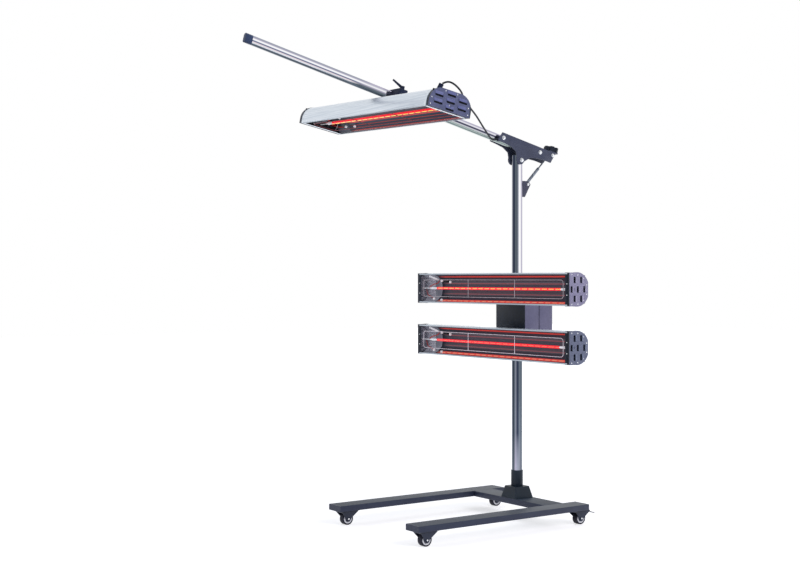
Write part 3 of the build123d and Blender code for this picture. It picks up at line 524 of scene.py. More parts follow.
def drawn_aluminium(name, turn):
    """Satin anodised extrusion: fine die lines along the head, coarser than real so that they show."""
    made, tree, shader, place = material(name)
    level = add(tree, "Mapping", place, Rotation=turn)
    stretch = add(tree, "Mapping", level, Scale=(1.5, 260.0, 260.0))
    lines = add(tree, "TexNoise", stretch, Scale=1.0, Detail=3.0)
    colour = add(tree, "ValToRGB", lines, stops=((0.3, "#ccd6e0"), (0.7, "#eef4fa")))
    wire(shader, {"Base Color": colour, "Normal": add(tree, "Bump", 0.25, 0.0006, Height=lines)})
    wire(shader, {"Metallic": 0.7, "Roughness": 0.36})
    return made


base_paint = painted_steel("base_powder_coat", "#2b3145", "#353c50", 0.45)
# The base's powder coat on its tops, darker as painted shade
base_top_painted_shade = painted_steel("base_powder_coat_painted_shade", "#29323f", "#333d4b", 0.5)
bracket_paint = painted_steel("bracket_powder_coat", "#393e52", "#454b60", 0.42)
yoke_paint = painted_steel("yoke_blue_enamel", "#1d2436", "#293145", 0.5)
clamp_paint = painted_steel("clamp_navy_enamel", "#1c2338", "#262e45", 0.5, shine=0.15)
lug_paint = painted_steel("lug_grey_enamel", "#3a3c4e", "#46485a", 0.42)
strut_steel = plated_steel("strut_satin_steel", "#5b6270", "#8a919e", 0.34, (90, 90, 9))
# The carriage cover's forward faces, darker than its sides
cover_front_tone = painted_steel("cover_front_darker", "#0e1521", "#172030", 0.4, shine=0.2)
boot_paint = painted_steel("boot_teal_black_paint", "#17212c", "#222e3a", 0.42, shine=0.25)
box_paint = painted_steel("box_grey_paint", "#5f5e78", "#6d6b84", 0.38)

# Tones that the chrome's painted reflections are put together from, and the painted bands themselves. On
# the boom a band's place is its share of the height, from the underside up, and on the column its share of
# the full turn.
band_slant = 0.12
reflection_tones = {
    "ink": "#1e2530", "navy": "#2c3446", "slate": "#48525d", "grey": "#626b74", "mid": "#7b7f8a",
    "ash": "#979cab", "lilac": "#b4b0c4", "pale": "#d6d9de", "white": "#fafafc", "blue": "#64779c",
    "mauve": "#6a6680", "rose": "#ecdfe4", "sage": "#8d9a97",
}
boom_back_bands = (
    (0.06, "sage"), (0.20, "sage"), (0.32, "pale"), (0.42, "mauve"), (0.47, "navy"), (0.53, "navy"),
    (0.60, "lilac"), (0.68, "white"), (0.77, "lilac"),
)
boom_clamp_bands = (
    (0.05, "grey"), (0.30, "grey"), (0.47, "lilac"), (0.57, "white"), (0.65, "pale"), (0.76, "lilac"),
)
boom_tip_bands = (
    (0.05, "slate"), (0.13, "grey"), (0.20, "pale"), (0.31, "rose"), (0.39, "mauve"), (0.46, "blue"),
    (0.53, "white"), (0.64, "white"), (0.71, "lilac"), (0.85, "ash"),
)
column_foot_bands = (
    (0.0, "grey"), (0.15, "pale"), (0.23, "slate"), (0.27, "slate"), (0.31, "mid"), (0.34, "lilac"),
    (0.39, "ash"), (0.48, "mid"), (0.53, "slate"), (0.57, "mid"), (0.75, "pale"), (1.0, "grey"),
)
column_low_bands = (
    (0.0, "slate"), (0.15, "ash"), (0.23, "slate"), (0.27, "ink"), (0.31, "slate"), (0.34, "mid"),
    (0.39, "navy"), (0.42, "navy"), (0.47, "grey"), (0.53, "slate"), (0.57, "grey"), (0.75, "pale"),
    (1.0, "slate"),
)
column_top_bands = (
    (0.0, "slate"), (0.15, "pale"), (0.23, "mid"), (0.26, "navy"), (0.31, "navy"), (0.35, "grey"),
    (0.39, "slate"), (0.43, "ash"), (0.446, "white"), (0.50, "white"), (0.53, "lilac"), (0.75, "pale"),
    (1.0, "slate"),
)
column_chrome = chrome_with_painted_reflections(
    "column_chrome",
    column_share,
    column_rise,
    ((0, 0, column_foot_bands), (0.24, 0.16, column_low_bands), (0.76, 0.2, column_top_bands)),
)
boom_chrome = chrome_with_painted_reflections(
    "boom_chrome",
    boom_share,
    boom_run,
    ((0, 0, boom_back_bands), (0.76, 0.02, boom_clamp_bands), (0.96, 0.05, boom_tip_bands)),
)
bolt_zinc = plated_steel("bolt_zinc", "#d6d9de", "#f4f6f8", 0.22, (60, 60, 60))
black_nylon = moulded_plastic("black_nylon", "#111824", "#1b2331", 0.45)
navy_nylon = moulded_plastic("navy_end_cap_nylon", "#2c3a58", "#384868", 0.42)
tyre_rubber = moulded_plastic("tyre_rubber", "#1b1c28", "#2a2b38", 0.62)
# Painted shade: a dark tone that stands for the shadow in slots, in hood openings and in the trough's
# wiring end
slot_shadow = moulded_plastic("slot_painted_shadow", "#0d1018", "#161a24", 0.6)
hub_nylon = moulded_plastic("hub_pale_nylon", "#e4e6ea", "#f6f7f9", 0.4)
lip_aluminium = plated_steel("lip_bright_aluminium", "#8f99a4", "#b2bac2", 0.3, (3, 200, 200))
seam_rubber = moulded_plastic("seam_rubber", "#3a394a", "#46455a", 0.6)
cable_rubber = moulded_plastic("cable_rubber", "#0e121b", "#181d28", 0.6)
mark_white = moulded_plastic("dial_white_marks", "#d8dade", "#eceef0", 0.5)
red_rocker = moulded_plastic("red_rocker", "#8d1712", "#a8201a", 0.28)
grey_nylon = moulded_plastic("grey_nylon", "#4a4d55", "#5a5d66", 0.5)

# The heads: a frame at the middle of the mouth, with its directions along the head, across it and out of
# its back, and then the length, width and depth in millimetres
boom_pitch = radians(3.3)
boom_roll = radians(1.34)
back_way = -forward
head_across = back_way * cos(boom_pitch) + upward * sin(boom_pitch)
raw_out = upward * cos(boom_pitch) - back_way * sin(boom_pitch)
head_along = right * cos(boom_roll) - raw_out * sin(boom_roll)
heads = per_head(
    (turned(at(0, -176, 1082), right, down), 1112, 144, 108),
    (turned(at(0, -176, 828), right, down), 1112, 144, 108),
    (turned(on_boom(0, 781.8, -126.4), head_along, head_across), 1006, 216, 86),
)

finishes = {
    name: finish
    for finish, names in (
        (base_paint, ("leg_left", "leg_right", "crossbar", "leg_end_plugs")),
        (boot_paint, ("column_boot", "column_collar")),
        (column_chrome, ("column_tube",)),
        (boom_chrome, ("boom_tube",)),
        (bolt_zinc, ("pivot_bolt", "boom_bolts")),
        (lug_paint, ("strut_lug",)),
        (strut_steel, ("strut_cylinder", "strut_rod")),
        (bracket_paint, ("boom_bracket",)),
        (navy_nylon, ("boom_end_caps",)),
        (clamp_paint, ("boom_clamp", "clamp_lever")),
        (black_nylon, ("column_head", "boom_lock_knob", "carriage_lock_knob", "cable_gland")),
        (black_nylon, ("timer_dial", "power_inlet", "brake_pedal_rear_left", "brake_pedal_rear_right")),
        (yoke_paint, ("caster_plates", "head_hinges")),
        (yoke_paint, [f"caster_yoke_{corner}" for corner in caster_places]),
        (tyre_rubber, [f"caster_wheel_{corner}" for corner in caster_places]),
        (cover_front_tone, ("carriage_cover",)),
        (box_paint, ("control_box", "control_panel")),
        (grey_nylon, ("guide_bushes", "contactor")),
        (red_rocker, ("lamp_switch_1", "lamp_switch_2", "lamp_switch_3")),
    )
    for name in names
}


# Patterns in the heads, in metres: the lit coil's pitch, the trough's depth, and the run of painted shadow
# over which the mirror brightens from the wiring end. The rest are shares of the mouth: how far a streak of
# painted reflection wanders, and the place and half width of the line of painted dashes.
coil_pitch = 0.045
trough_depth = 0.06
painted_shadow_run = 0.06
streak_drift = 0.008
dash_share = 0.922
dash_half = 0.008


def quartz_tube(name, mouth, hot, band_mm, sunk_mm):
    """Lit ruby quartz: red glass, with the hot coil's segments in a band on the side of the mouth."""
    made, tree, shader, place = material(name)
    origin, along, across, out = axes_of(mouth)
    lit = dashes(tree, along_way(tree, place, origin, along), coil_pitch, 0.75)
    side = add(tree, "Math ABSOLUTE", along_way(tree, place, origin, across))
    near = add(tree, "Math LESS_THAN", side, band_mm / 1000)
    depth = along_way(tree, place, origin, out)
    front = add(tree, "Math LESS_THAN", depth, (lamp_depth - sunk_mm) / 1000)
    band = add(tree, "Math MULTIPLY", near, front)
    coil = add(tree, "Math MULTIPLY", lit, band)
    colour = add(tree, "ValToRGB", coil, stops=((0.0, "#f0202e"), (1.0, hot)))
    wire(shader, {"Base Color": colour, "Roughness": 0.2})
    wire(shader, {"Emission Color": colour, "Emission Strength": 0.9})
    return made


def mirror_with_painted_reflections(name, mouth, width, length, streaks, by_depth):
    """Rolled mirror sheet with painted reflections: red streaks of the lit tube between its dark folds,
    painted into its colour, and a painted glow.
    """
    made, tree, shader, place = material(name)
    origin, along, across, out = axes_of(mouth)
    run = along_way(tree, place, origin, along)
    wave = add(tree, "TexNoise", place, Scale=14.0, Detail=2.0)
    drift = add(tree, "Math SUBTRACT", wave, 0.5)
    drift = add(tree, "Math MULTIPLY", drift, streak_drift)
    if by_depth:
        share = add(tree, "Math DIVIDE", along_way(tree, place, origin, out), trough_depth)
    else:
        share = share_of(tree, along_way(tree, place, origin, across), width / 1000)
    share_here = add(tree, "Math ADD", share, drift)
    # Painted reflection: red streaks of the lit tube between dark bands
    colour = add(tree, "ValToRGB", share_here, stops=[(spot, glows[glow]) for spot, glow in streaks])
    # Painted reflection of the lit coil: a line of dashes in the side heads' mirror
    if not by_depth:
        off = add(tree, "Math SUBTRACT", share, dash_share)
        off = add(tree, "Math ABSOLUTE", off)
        thin = add(tree, "Math LESS_THAN", off, dash_half)
        dash = add(tree, "Math MULTIPLY", dashes(tree, run, coil_pitch, 0.7), thin)
        colour = add(tree, "Mix", dash, colour, linear("#ffb48e"), data_type="RGBA")
    # Painted shadow: the mirror is dark where it meets the wiring end and brightens over a short run
    begin = (chamber_length - length / 2) / 1000
    shade = add(tree, "MapRange", run, begin, begin + painted_shadow_run)
    colour = add(tree, "Mix", shade, linear("#1b212b"), colour, data_type="RGBA")
    # The wiring end's plain sheet: darker in the boom head as painted shade, lighter in the side heads as
    # painted light
    dark, light = ("#2c2e36", "#484a54") if by_depth else ("#6c6e7a", "#8c8e98")
    plain = add(tree, "ValToRGB", wave, stops=((0.3, dark), (0.7, light)))
    chamber = add(tree, "Math LESS_THAN", run, begin)
    colour = add(tree, "Mix", chamber, colour, plain, data_type="RGBA")
    # Painted light: the whole mirror glows in its own colour, though it is no lamp
    glow, metallic, shine = (0.8, 0.1, 0.1) if by_depth else (0.5, 0.3, 0.4)
    wire(shader, {"Base Color": colour, "Emission Color": colour, "Emission Strength": glow})
    wire(shader, {"Metallic": metallic, "Specular IOR Level": shine, "Roughness": 0.35})
    return made


def cap_enamel(name, mouth, length, face_shade, face_light):
    """Grained enamel on the die-cast end cap: violet grey on its face, darker round its rim."""
    made, tree, shader, place = material(name)
    origin, along, _, _ = axes_of(mouth)
    reach = add(tree, "Math ABSOLUTE", along_way(tree, place, origin, along))
    face = add(tree, "Math GREATER_THAN", reach, (length / 2 - 0.6) / 1000)
    dark = clouded(tree, place, 24.0, 3.0, "#1a2130", "#272e3e")
    light = clouded(tree, place, 24.0, 3.0, face_shade, face_light)
    wire(shader, {"Base Color": add(tree, "Mix", face, dark, light, data_type="RGBA"), "Roughness": 0.4})
    wire(shader, {"Normal": grained(tree, place, 10 / 9, 0.15, 0.6)})
    return made


def glazed_ceramic(name, shade, light):
    """Steatite lamp socket: off-white, faintly speckled, half matt, with a painted glow that stands for the
    light of the tube beside it.
    """
    made, tree, shader, place = material(name)
    colour = clouded(tree, place, 400.0, 3.0, shade, light, 0.35, 0.6)
    wire(shader, {"Base Color": colour, "Roughness": 0.45})
    wire(shader, {"Emission Color": colour, "Emission Strength": 0.3})
    return made


# Painted reflections in the mirrors, red streaks of the lit tube: across the mouth in the side heads, from
# top to bottom, and by depth in the boom's
glows = {
    "night": "#1d2636", "dark": "#272e3a", "shade": "#3a3842", "dull": "#86474f", "ember": "#9c3c32",
    "red": "#d0453a", "flare": "#f4584e",
}
side_streaks = (
    (0.03, "shade"), (0.085, "dark"), (0.105, "red"), (0.12, "red"), (0.145, "dark"), (0.32, "shade"),
    (0.34, "dull"), (0.36, "shade"), (0.39, "dark"), (0.67, "shade"), (0.69, "dull"), (0.71, "shade"),
    (0.88, "dark"), (0.905, "flare"), (0.94, "flare"), (0.96, "dark"),
)
boom_streaks = (
    (0.15, "ember"), (0.19, "night"), (0.29, "night"), (0.32, "ember"), (0.35, "night"),
    (0.45, "night"), (0.48, "ember"), (0.51, "night"), (0.61, "night"), (0.64, "red"), (0.67, "night"),
    (0.77, "night"), (0.80, "ember"), (0.83, "shade"),
)

# Painted light: the hoods are lighter than the caps' faces as a painted highlight, and each head's hoods
# and caps are lighter or darker copies of one enamel, as painted light and shade, lightest on the upper
# head
hood_painted_light = per_head(("#8f8ca6", "#a09db6"), ("#667087", "#79829a"), ("#5c6290", "#6d739f"))
cap_painted_light = per_head(("#807d98", "#908da8"), ("#5a6178", "#697087"), ("#4a5070", "#585e80"))
# The lit coil's colour, half its band's width, and how far the band is sunk in the glass, in millimetres
lamp_glow = per_head(("#ffa050", 2.0, 0.0), ("#ff6448", 1.4, 0.0), ("#ffc52e", 3.6, 4.4))
skirt_enamel = painted_steel("skirt_dark_enamel", "#131926", "#1f2635", 0.5, shine=0.15)
# The guard wire in three copies: plain on the upper head, paler on the lower head as a painted highlight,
# and red on the boom head as painted light from the lamp
guard_wire = plated_steel("guard_bright_wire", "#958f96", "#b0aab2", 0.3, (80, 80, 80))
highlit_guard_wire = plated_steel("guard_wire_painted_highlight", "#bdb6c0", "#dcd6e0", 0.3, (80, 80, 80))
red_lit_wire = plated_steel("guard_red_lit_wire", "#6d3a40", "#8a4a50", 0.4, (80, 80, 80))
steatite = glazed_ceramic("steatite_socket", "#e2dfe4", "#faf9fb")
# The wiring end's sheet in two copies: lighter in the side heads as painted light, darker in the boom head
# as painted shade
chamber_sheet = painted_steel("chamber_sheet_painted_light", "#b4b4be", "#d2d2da", 0.4)
chamber_painted_shade = painted_steel("chamber_sheet_painted_shade", "#24272f", "#363a43", 0.4)
red_silicone = moulded_plastic("red_silicone_lead", "#b3221c", "#d0352a", 0.4)
guard_wires = per_head(guard_wire, highlit_guard_wire, red_lit_wire)
level_aluminium = drawn_aluminium("housing_drawn_aluminium", (0, 0, 0))
tilted_aluminium = drawn_aluminium("boom_housing_drawn_aluminium", (0, boom_roll, 0))
for head, (place, length, width, depth) in heads.items():
    tilted = head == "boom_head"
    streaks = boom_streaks if tilted else side_streaks
    finishes[f"{head}_housing"] = tilted_aluminium if tilted else level_aluminium
    finishes[f"{head}_end_caps"] = cap_enamel(f"{head}_cap_enamel", place, length, *cap_painted_light[head])
    mirror = f"{head}_mirror_painted_streaks"
    finishes[f"{head}_reflector"] = mirror_with_painted_reflections(mirror, place, width, length, streaks, tilted)
    finishes[f"{head}_lamp"] = quartz_tube(f"{head}_lit_quartz", place, *lamp_glow[head])
    finishes[f"{head}_guard"] = guard_wires[head]

for name, finish in finishes.items():
    coat(nodes[name], finish)

# The turn that lays a standing piece down along x
lying = Matrix.Rotation(pi / 2, 4, "Y")

# Pieces of the three lamp heads, made in the head's own frame


def louvre_hood(length, finish):
    """A pressed hood: it stands off the cap at the slot and slopes back into it."""
    hood = block("louvre_hood", (hood_height, length, hood_depth), (hood_height / 2, 0, hood_depth / 2))
    far_edge = (hood_height - 0.2) / 1000
    pick(hood, "VERT", lambda vert: vert.co.x > far_edge and vert.co.z > hood_depth / 2000)
    bpy.ops.transform.translate(value=(-(hood_height - 0.5) / 1000, 0, 0))
    pick(hood, "VERT", lambda vert: vert.co.x > 0.001)
    bpy.ops.transform.resize(value=(1, 0.86, 1))
    coat(shaped(hood, (down,), (0.6, -1.8)), finish, slot_shadow)
    # The hood's open side is painted shadow
    tinted(hood, 1, lambda face: face.center.z > 0.0012 and face.normal.z < -0.9)
    return rounded(hood, 0.7)


def hoods_of(head):
    """Seven hoods on each end of a head, one above every slot."""
    place, length, width, depth = heads[head]
    pattern = louvre_hood(width * 0.2, painted_steel(f"{head}_hood_painted_highlight", *hood_painted_light[head], 0.4))
    made = []
    for end in (-1, 1):
        for side, share in louvre_places:
            spot = Vector((end * length / 2, side * width, depth * share + hood_gap)) / 1000
            way = Matrix.Translation(spot) @ Matrix.Diagonal((end, 1, 1, 1))
            made.append(copied(pattern, f"{head}_hood", place @ way))
    discard(pattern)
    return joined(f"{head}_louvre_hoods", *made)


def cap_screws_of(head):
    """Pale pan-head screws round each cap's face and on its flange beside the mouth."""
    place, length, width, depth = heads[head]
    turn = place.to_3x3()
    seats = []
    for end in (-1, 1):
        for side, share in cap_screw_places:
            seats.append(((end * length / 2, side * width, depth * share), turn @ (right * end), 0.55))
        seats.append(((end * length / 2, 0, depth * 0.28), turn @ (right * end), 0.95))
        for side in (-0.17, 0.17):
            seats.append(((end * (length / 2 - 16), side * width, -0.4), turn @ down, 0.5))
    seats = [(place @ (Vector(spot) / 1000), way, size) for spot, way, size in seats]
    return screws(f"{head}_cap_screws", seats)


def skirts_of(head):
    """The cast skirt that each end cap laps over the housing, closed across the mouth, and its liner,
    painted shadow behind the slots.
    """
    place, length, width, depth = heads[head]
    tilted = head == "boom_head"
    half, back = width / 2 + skirt_proud, depth + skirt_proud
    flank, crown = depth * 0.28, width / 2 * 0.42
    edge = [(half, -0.4), (half, flank)]
    for step in range(1, 9):
        angle = step * pi / 18
        edge.append((crown + (half - crown) * cos(angle), flank + (back - flank) * sin(angle)))
    edge.append((crown, back))
    edge += [(-across, deep) for across, deep in reversed(edge)]
    made = []
    for end in (-1, 1):
        start = end * (length / 2 - cap_reach - skirt_length / 2)
        skirt = disc("skirt", 10, skirt_length, len(edge))
        shape = sorted(skirt.data.vertices, key=lambda vert: (vert.co.z, vert.index))
        for ring in (shape[: len(edge)], shape[len(edge) :]):
            lift = ring[0].co.z * 1000 - skirt_length / 2
            ring.sort(key=lambda vert: atan2(vert.co.y, vert.co.x) % (2 * pi))
            for vert, (across, deep) in zip(ring, edge):
                vert.co = Vector((start + lift, across, deep)) / 1000
        pick(skirt, "FACE", lambda face: len(face.verts) > 4)
        bpy.ops.mesh.delete(type="FACE")
        bpy.ops.mesh.select_all(action="SELECT")
        bpy.ops.mesh.normals_make_consistent(inside=False)
        applied(skirt, "SOLIDIFY", thickness=skirt_wall / 1000)
        made.append(coat(rounded(skirt, 0.4, 2, 40), tilted_aluminium if tilted else skirt_enamel))
        reach = cap_reach if tilted else 24 + end * 4
        flange = block("flange", (reach, width - 3, 1.4), (end * (length / 2 - 0.8 - reach / 2), 0, 0.8))
        made.append(coat(rounded(shaped(flange, (down,), (1.6, -0.3)), 0.4), skirt_enamel))
        # The liner: painted shadow on the side that the slots look onto, and on its inner side the wiring
        # end's sheet
        liner = block("liner", (1.0, width * 0.86, depth * 0.82), (end * (length / 2 - 5), 0, depth * 0.47))
        sheet = chamber_painted_shade if tilted else chamber_sheet
        coat(shaped(liner, (left, right), (6.0, -0.2)), sheet, slot_shadow)
        tinted(liner, 1, lambda face: face.normal.x * end > 0.5)
        made.append(liner)
    return placed(joined(f"{head}_cap_skirts", *made), place)


def mouth_rails_of(head):
    """The housing's turned lips: a bright rounded edge along both sides of the mouth."""
    place, length, width, _ = heads[head]
    made = []
    for side in (-1, 1):
        middle = (0, side * (width - rail_width) / 2, 0)
        rail = block("rail", (length - 2 * cap_reach, rail_width, 2.4), middle)
        made.append(rounded(shaped(rail, (down,), (1.2, -0.5)), 0.5))
    return coat(placed(joined(f"{head}_mouth_rails", *made), place), lip_aluminium)


def tube_of(head):
    """The glass tube with its pinched ends."""
    place, length, _, _ = heads[head]
    left_start, right_start = glass_starts[head]
    tube = disc(f"{head}_tube", lamp_radius, length - left_start - right_start, 32)
    rounded(shaped(tube, (up, down), (1.6, 3.0), (1.6, 5.0)), 0.8)
    lie = lying @ Matrix.Translation((0, 0, (left_start - length / 2) / 1000))
    placed(tube, place @ Matrix.Translation((0, 0, lamp_depth / 1000)) @ lie)
    return coat(tube, nodes[f"{head}_lamp"].data.materials[0])


def sockets_of(head):
    """Ceramic holders: a spindle on each end of the tube, and the pin that carries it."""
    place, length, _, _ = heads[head]
    made = []
    for end, start, size in zip((-1, 1), glass_starts[head], socket_length[head]):
        spindle = disc("spindle", 5.5, size * 0.55, 24)
        rounded(shaped(spindle, (up, down), (0.6, size * 0.1), (1.6, size * 0.12)), 1.6, 3, 20)
        rod = shaped(disc("pin", 1.8, max(start - size, 4), 12), (up, down), (0.5, 0.6))
        way = place.to_3x3() @ (right * end)
        for piece, reach in ((spindle, start - size * 0.22), (rod, start - size)):
            spot = place @ (Vector((end * (length / 2 - reach), 0, lamp_depth)) / 1000)
            made.append(copied(piece, f"{head}_holder", facing(spot, way)))
        discard(spindle, rod)
    return coat(joined(f"{head}_sockets", *made), steatite)


def chamber_of(head):
    """Grey sheet across the wiring end of the trough, with folded flanks and one sunk panel."""
    place, length, width, _ = heads[head]
    run = chamber_length - 2 * chamber_margin
    middle = (chamber_margin + (run - length) / 2, 0, sheet_depth)
    sheet = block(f"{head}_chamber_sheet", (run, width * 0.62, 1.2), middle)
    pick(sheet, "FACE", lambda face: abs(face.normal.y) > 0.9)
    pushed(width * 0.09)
    bpy.ops.transform.translate(value=(0, 0, -chamber_fold / 1000))
    pick(sheet, "FACE", lambda face: face.normal.z < -0.95 and face.calc_area() > 0.002)
    inset(5.0)
    inset(1.0, -0.8)
    placed(rounded(sheet, 0.4), place)
    # The side heads get the sheet's lighter copy, painted light, and the boom head its darker copy, painted
    # shade
    return coat(sheet, chamber_painted_shade if head == "boom_head" else chamber_sheet)


def beads_of(head):
    """Ceramic beads threaded on the tube's lead, and the posts that carry the leads."""
    place, length, width, _ = heads[head]
    turn = place.to_3x3()
    start = -length / 2
    bead = rounded(shaped(disc("bead", 5.0, 7.5, 16), (up, down), (1.4, -1.5)), 1.2)
    lead = [Vector((start + 70 + 15 * step, width * (-0.41 + 0.026 * step), 22)) for step in range(6)]
    made = [
        copied(bead, "bead", facing(place @ (here / 1000), turn @ (there - here)))
        for here, there in zip(lead, lead[1:])
    ]
    for run, side in ((168, -0.26), (236, -0.21), (104, 0.36), (166, 0.4)):
        spot = place @ (Vector((start + run, width * side, 18)) / 1000)
        upright = facing(spot, turn @ Vector((0.4, 0, 1)))
        made.append(copied(bead, "post", upright @ Matrix.Scale(1.2, 4)))
    discard(bead)
    return coat(joined(f"{head}_ceramic_beads", *made), steatite)


def terminals_of(head):
    """Two clamping blocks between the beads and the tube's reflector, dark with painted shadow."""
    place, length, width, _ = heads[head]
    made = []
    for run, side in ((202, -0.235), (196, 0.30)):
        terminal = block("terminal", (34, 12, 12), (run - length / 2, side * width, 26))
        shaped(terminal, (down,), (2.0, 2.0), (2.5, -2.5))
        made.append(rounded(shaped(terminal, (up,), (2.5, 8.0)), 1.2))
    return coat(placed(joined(f"{head}_terminals", *made), place), slot_shadow)


def wires_of(name, head, radius, routes, finish):
    """Wires in a head, by run from its end, share of its width, and depth."""
    place, length, width, _ = heads[head]
    rods = [
        bent_rod("wire", radius, [(run - length / 2, side * width, deep) for run, side, deep in route])
        for route in routes
    ]
    return coat(placed(joined(f"{head}_{name}", *rods), place), finish)


# Silicone leads from the beads and posts to the holder, looped as a fitter leaves them
lead_routes = (
    ((150, -0.28, 22), (160, -0.24, 16), (140, -0.15, 15), (96, -0.12, 18), (70, -0.03, 22)),
    ((100, 0.33, 20), (84, 0.26, 16), (62, 0.26, 20), (44, 0.14, 26), (30, 0.05, 32)),
)
# Bare nickel wires that hold the guard and the tube at the wiring end
tie_routes = [
    ((16, side * 0.3, 8), (60, side * 0.27, 10), (90, side * 0.18, 18), (118, side * 0.12, 26))
    for side in (-1, 1)
]
for head in heads:
    tube = tube_of(head)
    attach(tube, head)
    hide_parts(f"{head}_lamp")
    for make in (sockets_of, hoods_of, cap_screws_of, mouth_rails_of, skirts_of, chamber_of, beads_of):
        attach(make(head), head)
    if head != "boom_head":
        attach(terminals_of(head), head)
    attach(wires_of("red_leads", head, 2.2, lead_routes, red_silicone), head)
    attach(wires_of("tie_wires", head, 1.1, tie_routes, guard_wire), head)

# Bolts of the bracket and the strut's lug


def through_bolt(name, middle, half_grip, shank, head_size):
    """A bolt along x with a domed head at each end."""
    rod = disc("shank", shank, 2 * half_grip, 20)
    placed(rod, Matrix.Translation(middle) @ lying @ Matrix.Translation((0, 0, -half_grip / 1000)))
    ends = screws("bolt_heads", both_sides(middle, half_grip, head_size), 1.7)
    return coat(joined(name, rod, ends), bolt_zinc)


pivot = through_bolt("pivot_bolt_dressed", at(0, 0, 1687.6), 32.3, 6.0, 2.0)
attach(pivot, "base")
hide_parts("pivot_bolt")
boom_bolts = joined(
    "boom_bolts_dressed",
    through_bolt("front_bolt", on_boom(0, 113.5, 2.9), 32.0, 6.0, 1.9),
    through_bolt("rear_bolt", on_boom(0, -118.3, 2.9), 32.0, 6.0, 1.9),
    through_bolt("strut_bolt", at(0, 195.6, 1720.4), 32.0, 3.2, 1.7),
)
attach(boom_bolts, "boom")
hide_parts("boom_bolts")
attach(screws("lug_bolt_heads", both_sides(at(0, 53.5, 1577), 17.0, 1.35), 1.7), "base")

# Casters
wheel = disc("caster_wheel", wheel_radius, wheel_width, 48)
shaped(wheel, (up, down), (6.5, -1.4), (0.8, 1.6), (5.5, -0.4), (1.0, -3.0), (5.0, 4.0))
rounded(wheel, 1.6, 3, 40)
hub_radius, hole_radius = 0.0215, 0.0125
tinted(wheel, 1, lambda face: hole_radius < face.center.xy.length < hub_radius)
tinted(wheel, 2, lambda face: face.center.xy.length <= hole_radius)
for corner, (x, y) in caster_places.items():
    axle = at(x, y, wheel_radius)
    lie = Matrix.Translation(axle) @ lying @ Matrix.Translation((0, 0, -wheel_width / 2000))
    piece = coat(copied(wheel, f"caster_wheel_{corner}_dressed", lie), tyre_rubber, hub_nylon, black_nylon)
    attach(piece, f"wheel_{corner}")
    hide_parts(f"caster_wheel_{corner}")
    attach(screws(f"caster_axle_heads_{corner}", both_sides(axle, 17.5, 1.35)), f"fork_{corner}")
discard(wheel)

# Heads of the brake pins on the rear casters
for corner in ("rear_left", "rear_right"):
    pin = at(caster_places[corner][0], 147, 52)
    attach(screws(f"brake_pin_heads_{corner}", both_sides(pin, 14.6, 0.95)), f"fork_{corner}")


# Rear panel: its screws, the rockers' bezels, the dial's pointer and scale, and the inlet's blades
def on_panel(name, size, x, proud, z, step, edge, detail=1):
    """A small block on the rear panel, with one inset step on its face."""
    middle = at(x, panel_face + proud, z) * 1000
    return rounded(shaped(block(name, size, middle), (rear,), step), edge, detail)


corners = [(x, z) for x in (-97, 97) for z in (813, 1097)]
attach(screws("panel_screws", [(at(x, panel_face, z), rear, 0.9) for x, z in corners]), "carriage")
bezel_size = (29, 2.4, 37)
bezels = [on_panel("bezel", bezel_size, x, 1.2, rocker_height, (2.2, -1.0), 0.5, 2) for x in (-48, 0, 48)]
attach(coat(joined("rocker_bezels", *bezels), black_nylon), "carriage")
pointer = on_panel("dial_pointer", (2.2, 1.2, 15), 0, 15.9, dial_height + 13, (0.4, 0.2), 0.2)
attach(coat(pointer, mark_white), nodes["timer_dial"]["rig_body"])
tick = shaped(block("tick", (1.4, 0.8, 5), (0, 0, 32)), (rear,), (0.25, 0.1))
middle = Matrix.Translation(at(0, panel_face + 0.2, dial_height))
turns = [Matrix.Rotation(radians(step * 30 - 150), 4, "Y") for step in range(11)]
ticks = [copied(tick, "tick", middle @ turn) for turn in turns]
discard(tick)
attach(coat(joined("dial_scale", *ticks), mark_white), "carriage")
blade_places = (-7, 862), (7, 862), (0, 869)
blades = [on_panel("blade", (2.0, 7, 4.5), x, -2.5, z, (0.4, 0.6), 0.2) for x, z in blade_places]
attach(coat(joined("inlet_blades", *blades), bolt_zinc), "carriage")

# CAD pieces whose edges are rounded
for node, width in softened_nodes:
    twin = softened(node, width)
    # The cover's faces that look forward are darker than its sides, which take the box's grey
    if node == "carriage_cover":
        coat(twin, box_paint, cover_front_tone)
        tinted(twin, 1, lambda face: face.normal.y < -0.7)
    # The tops of the legs and crossbar take the darker copy of their coat, as painted shade
    if node in ("leg_left", "leg_right", "crossbar"):
        coat(twin, base_paint, base_top_painted_shade)
        tinted(twin, 1, lambda face: face.normal.z > 0.7)

# The chrome column and boom, smooth all round, and open as deep as an eye can see. The boom runs back and
# forward from the column's axis, in millimetres.
bore_shown = 30.0
boom_tail, boom_reach = 134.0, 1471.0
low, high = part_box("column_tube")
tube = disc("column_tube_dressed", column_radius * 1000, (high[2] - low[2]) * 1000, 96)
shaped(tube, (up, down), (0.4, 0.4), (1.8, -0.4), (0.2, -bore_shown))
rounded(placed(tube, Matrix.Translation(at(0, 0, low[2] * 1000))), 0.1, 1, 60)
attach(coat(tube, column_chrome), "base")
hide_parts("column_tube")

boom_size = boom_width * 1000, boom_height * 1000, boom_tail + boom_reach
tube = block("boom_tube_dressed", boom_size, (0, 0, boom_size[2] / 2))
pick(tube, "EDGE", lambda edge: abs((edge.verts[0].co - edge.verts[1].co).z) > 0.1)
bpy.ops.mesh.bevel(offset=boom_corner, segments=12, affect="EDGES")
shaped(tube, (up, down), (1.6, -0.1), (0.2, -bore_shown))
bpy.ops.object.shade_smooth_by_angle(angle=radians(50))
placed(tube, turned(on_boom(0, -boom_tail, 0), right, upward))
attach(coat(tube, boom_chrome), "boom")
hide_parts("boom_tube")

